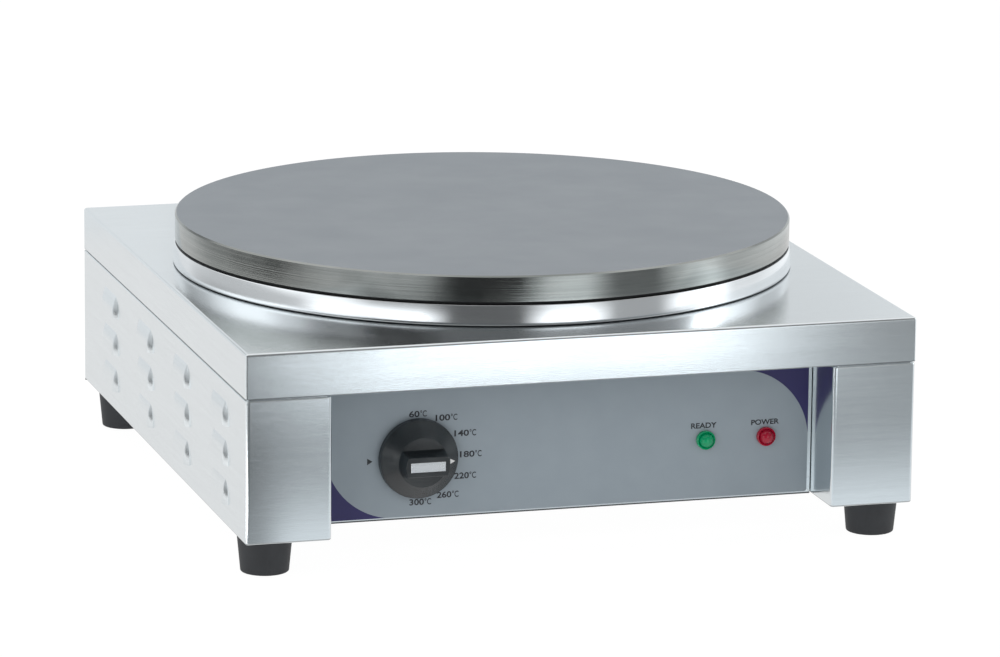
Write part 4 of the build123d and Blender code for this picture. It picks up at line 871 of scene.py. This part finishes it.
def knob_pointer():
    """The white triangle on the knob's cone, beside the end of the grip."""
    hub_radius, hub_stands = 0.01575, 0.0144  # the cone's inner end, and how far it stands out
    rim_radius, rim_stands = 0.025, 0.0055
    slope = (rim_stands - hub_stands) / (rim_radius - hub_radius)
    thickness = 0.00008

    def on_cone(x, z):
        """A point just off the cone, that many metres right of the knob's axis and above it."""
        stands = hub_stands + slope * (math.hypot(x, z) - hub_radius) + thickness
        return (DIAL_X + x, OVERLAY_FACE - stands, DIAL_Z + z)

    rows = 6
    base_x, tip_x, half_height, tip_half_height = 0.0178, 0.0221, 0.0016, 0.00003
    corners, faces = [], []
    for row in range(rows + 1):
        share = row / rows
        x = base_x + (tip_x - base_x) * share
        half = max(half_height * (1 - share), tip_half_height)
        middle = -0.0006 - 0.0010 * share
        corners += [on_cone(x, middle - half), on_cone(x, middle), on_cone(x, middle + half)]
    for low in range(0, 3 * rows, 3):
        faces += [(low, low + 3, low + 4, low + 1), (low + 1, low + 4, low + 5, low + 2)]
    flat = plain_mesh("pointer_face", corners, faces)
    skin = bmesh.new()
    skin.from_mesh(flat)
    bpy.data.meshes.remove(flat)
    finish_piece(as_thin_piece("knob_pointer", skin, thickness, WHITE_INK), KNOB, "black_plastic")


# ======== Stage, light and camera ========
def stage_piece(name, corners, faces, material):
    """A flat or folded sheet of the stage."""
    mesh = plain_mesh(name, corners, faces)
    mesh.materials.append(material)
    sheet = in_scene(name, mesh)
    return sheet


def surroundings():
    """White all round for the camera. Gloss sees a pale room, dim in front, above the cards."""
    world = bpy.data.worlds.new("studio")
    bpy.context.scene.world = world
    world.use_nodes = True
    tree = world.node_tree
    tree.nodes.clear()
    rays = tree.nodes.new("ShaderNodeLightPath").outputs
    axes = axes_of(tree, tree.nodes.new("ShaderNodeTexCoord").outputs["Generated"])
    side_walls = ease(tree, axes["Y"], -0.62, -0.10, 0.20, 0.95)
    back_wall = ease(tree, axes["Y"], 0.3, 0.8, 0.0, 1.0)
    dimmed = sum_up(tree, "MULTIPLY", back_wall, ease(tree, axes["X"], -0.15, 0.15, 0.16, 0.24))
    room = sum_up(tree, "SUBTRACT", side_walls, dimmed)
    for_gloss = sum_up(tree, "MULTIPLY", rays["Is Glossy Ray"], room)
    for_diffuse = sum_up(tree, "MULTIPLY", rays["Is Diffuse Ray"], 0.62)
    white = sum_up(tree, "MAXIMUM", rays["Is Camera Ray"], rays["Is Transmission Ray"])
    level = sum_up(tree, "ADD", sum_up(tree, "ADD", for_gloss, for_diffuse), white)
    light = put(tree, "ShaderNodeBackground", inputs={"Color": (1, 1, 1, 1), "Strength": level})
    put(tree, "ShaderNodeOutputWorld", inputs={0: light.outputs[0]})


def pale_floor():
    """A white floor that keeps the machine's soft shadow, and is clear when seen from below."""
    pale, tree = new_material("pale_floor")
    matt = put(tree, "ShaderNodeBsdfDiffuse", inputs={"Color": (0.92, 0.92, 0.92, 1)})
    rays = tree.nodes.new("ShaderNodeLightPath").outputs
    strength = sum_up(tree, "MULTIPLY_ADD", rays["Is Glossy Ray"], -0.23, 1.03)
    glow = put(tree, "ShaderNodeEmission", inputs={"Color": (1, 1, 1, 1), "Strength": strength})
    seen = sum_up(tree, "MAXIMUM", rays["Is Camera Ray"], rays["Is Glossy Ray"])
    seen = sum_up(tree, "MAXIMUM", seen, rays["Is Transmission Ray"])
    seen = sum_up(tree, "MULTIPLY", seen, 0.94)
    clear = tree.nodes.new("ShaderNodeBsdfTransparent")
    below = tree.nodes.new("ShaderNodeNewGeometry").outputs["Backfacing"]
    mixed = {0: seen, 1: matt.outputs[0], 2: glow.outputs[0]}
    above = put(tree, "ShaderNodeMixShader", inputs=mixed)
    two_sided = {0: below, 1: above.outputs[0], 2: clear.outputs[0]}
    both = put(tree, "ShaderNodeMixShader", inputs=two_sided)
    put(tree, "ShaderNodeOutputMaterial", inputs={0: both.outputs[0]})
    reach = 8.0
    corners = [(-reach, -reach, 0), (reach, -reach, 0), (reach, reach, 0), (-reach, reach, 0)]
    stage_piece("floor", corners, [(0, 1, 2, 3)], pale)


def gloss_card(name, corners, faces, strength=1.0, colour=(1.0, 1.0, 1.0)):
    """A shining sheet that only reflections show. Gives back the sheet, its tree and its light."""
    finish, tree = new_material(name)
    glow = put(tree, "ShaderNodeEmission", inputs={"Color": (*colour, 1), "Strength": strength})
    put(tree, "ShaderNodeOutputMaterial", inputs={0: glow.outputs[0]})
    sheet = stage_piece(name, corners, faces, finish)
    sheet.visible_camera = False
    sheet.visible_diffuse = False
    sheet.visible_transmission = False
    sheet.visible_shadow = False
    return sheet, tree, glow


def floor_card(name, across, back, lift, **light):
    """A gloss card that lies on the floor, between two places across and two places back."""
    (left, right), (near, far) = across, back
    corners = [(left, near, lift), (right, near, lift), (right, far, lift), (left, far, lift)]
    return gloss_card(name, corners, [(0, 1, 2, 3)], **light)


def front_floor_card():
    """The floor in front as gloss sees it: dimmer away from the machine, lit before the softbox."""
    _, tree, glow = floor_card(
        "front_floor_card", (-0.75, 0.75), (-0.84, -0.262), 0.002, colour=(0.94, 1.0, 1.04)
    )
    axes = axes_of(tree, tree.nodes.new("ShaderNodeTexCoord").outputs["Object"])
    across, back = axes["X"], axes["Y"]
    dimming = ease(tree, back, -0.52, -0.28, 0.36, 0.82)
    slanting = sum_up(tree, "MULTIPLY_ADD", back, 0.25, across)
    left_dim = ease(tree, slanting, -0.270, -0.243, 0.40, 1.0)
    right_dim = ease(tree, across, 0.20, 0.34, 1.0, 0.96)
    shaded = sum_up(tree, "MULTIPLY", dimming, sum_up(tree, "MULTIPLY", left_dim, right_dim))
    from_left = ease(tree, across, -0.13, 0.03, 0, 1)
    to_right = ease(tree, across, 0.24, 0.36, 1, 0)
    in_front = ease(tree, back, -0.78, -0.62, 1.7, 0)
    lit = sum_up(tree, "MULTIPLY", sum_up(tree, "MULTIPLY", from_left, to_right), in_front)
    feed(tree, glow.inputs["Strength"], sum_up(tree, "ADD", shaded, lit))


def standing_wall():
    """An upright wall of cards round the machine, bright where the softboxes stand.

    Each section is the heading in degrees at which it starts, from the front to the right, and its
    brightness at four heights: near the floor, level with the plate's ring, above that, and high,
    where the cover's top shows it by way of the ring.
    """
    sections = [
        (-180, 0.80, 0.82, 0.80, 0.80),
        (-153, 0.76, 0.82, 0.80, 0.35),
        (-138, 0.50, 0.64, 0.80, 0.50),
        (-127, 0.30, 0.56, 0.90, 0.90),
        (-116, 0.14, 0.54, 1.25, 1.20),
        (-93, 0.10, 0.56, 1.5, 0.70),
        (-81, 0.25, 0.60, 1.25, 0.36),
        (-74, 0.58, 1.5, 1.0, 0.18),
        (-57, 0.55, 1.9, 0.40, 0.02),
        (-31, 0.03, 0.12, 0.12, 0.12),
        (1.5, 1.15, 1.8, 1.0, 0.30),
        (23, 0.22, 0.38, 0.38, 0.22),
        (49.5, 1.35, 1.6, 1.0, 0.30),
        (60, 1.40, 1.6, 1.3, 0.90),
        (65, 1.40, 1.6, 1.6, 3.20),
        (74, 0.90, 0.82, 0.85, 1.30),
        (88, 1.0, 0.80, 0.80, 0.95),
        (98, 1.05, 0.86, 0.86, 0.55),
        (122, 1.0, 0.86, 0.86, 0.85),
        (140, 0.80, 0.80, 0.76, 0.68),
    ]
    distance, blend_over = 0.88, 10.0
    # Each row of the wall: its height, and which of the four brightnesses it has.
    rows = ((0.0, 0), (0.03, 0), (0.09, 1), (0.15, 1), (0.20, 2), (0.31, 2), (0.38, 3), (0.60, 3))
    corners, levels, headings = [], [], range(-180, 181, 2)
    for heading in headings:
        brightness = sections[0][1:]
        for start, *next_one in sections[1:]:
            share = min(max((heading - start) / blend_over + 0.5, 0), 1)
            brightness = [now + (then - now) * share for now, then in zip(brightness, next_one)]
        turn = math.radians(heading)
        x, y = distance * math.sin(turn), BODY_Y - distance * math.cos(turn)
        corners += [(x, y, z) for z, _ in rows]
        levels += [brightness[level] for _, level in rows]
    high = len(rows)
    faces = [
        (high * n + row, high * (n + 1) + row, high * (n + 1) + row + 1, high * n + row + 1)
        for n in range(len(headings) - 1)
        for row in range(high - 1)
    ]
    wall, tree, glow = gloss_card("standing_wall", corners, faces, colour=(0.97, 1.0, 1.02))
    wall.data.attributes.new("brightness", "FLOAT", "POINT").data.foreach_set("value", levels)
    level = put(tree, "ShaderNodeAttribute", {"attribute_name": "brightness"}).outputs["Fac"]
    feed(tree, glow.inputs["Strength"], level)


def soft_lamp(name, place, size, power):
    """A large softbox, turned to the machine, that lights without showing in the gloss."""
    lamp = bpy.data.lights.new(name, "AREA")
    lamp.shape = "RECTANGLE"
    lamp.size, lamp.size_y = size
    lamp.energy = power
    holder = in_scene(name, lamp)
    toward = Vector((0, 0, 0.1)) - Vector(place)
    turn = toward.to_track_quat("-Z", "Y").to_matrix().to_4x4()
    holder.matrix_world = Matrix.Translation(place) @ turn
    holder.visible_glossy = False


def studio():
    """A pale floor, white surroundings, large soft lamps, and cards that shape what steel shows."""
    surroundings()
    pale_floor()
    front_floor_card()
    # The louvres' curved ends reflect the left card, and the knob's cone the one beside the post.
    floor_card("left_floor_card", (-0.80, -0.47), (-0.36, 0.40), 0.002, strength=0.95)
    floor_card("knob_floor_card", (-0.50, -0.30), (-0.40, -0.22), 0.004, strength=3.0)
    standing_wall()
    soft_lamp("left_lamp", (-1.5, -1.3, 1.05), (1.3, 1.9), 11)
    soft_lamp("right_lamp", (1.9, -0.9, 0.95), (1.1, 1.7), 9)
    soft_lamp("top_lamp", (0.1, 0.3, 2.5), (2.6, 2.0), 22)


def set_camera():
    """A long lens from the front left, a little above the plate."""
    yaw, pitch, roll = (math.radians(angle) for angle in (16.597, 12.810, 0.608))
    target, distance, right_by, down_by = Vector((0, BODY_Y, 0.1801)), 3.7041, 0.0105, 0.0811
    level = math.cos(pitch)
    forward = Vector((math.sin(yaw) * level, math.cos(yaw) * level, -math.sin(pitch)))
    level_right = Vector((math.cos(yaw), -math.sin(yaw), 0))
    straight_up = level_right.cross(forward)
    right = level_right * math.cos(roll) + straight_up * math.sin(roll)
    up = straight_up * math.cos(roll) - level_right * math.sin(roll)
    place = target - distance * forward + right_by * right - down_by * up
    lens = bpy.data.cameras.new("camera")
    lens.lens = 204.96
    lens.sensor_width = 36.0
    lens.sensor_fit = "HORIZONTAL"
    camera = in_scene("camera", lens)
    facing = Matrix((right, up, -forward)).transposed().to_4x4()
    camera.matrix_world = Matrix.Translation(place) @ facing
    bpy.context.scene.camera = camera


dress_nodes()
plate_ring()
dial_print()
lamp_print()
knob_pointer()
studio()
set_camera()
bpy.context.scene.view_settings.view_transform = "Standard"
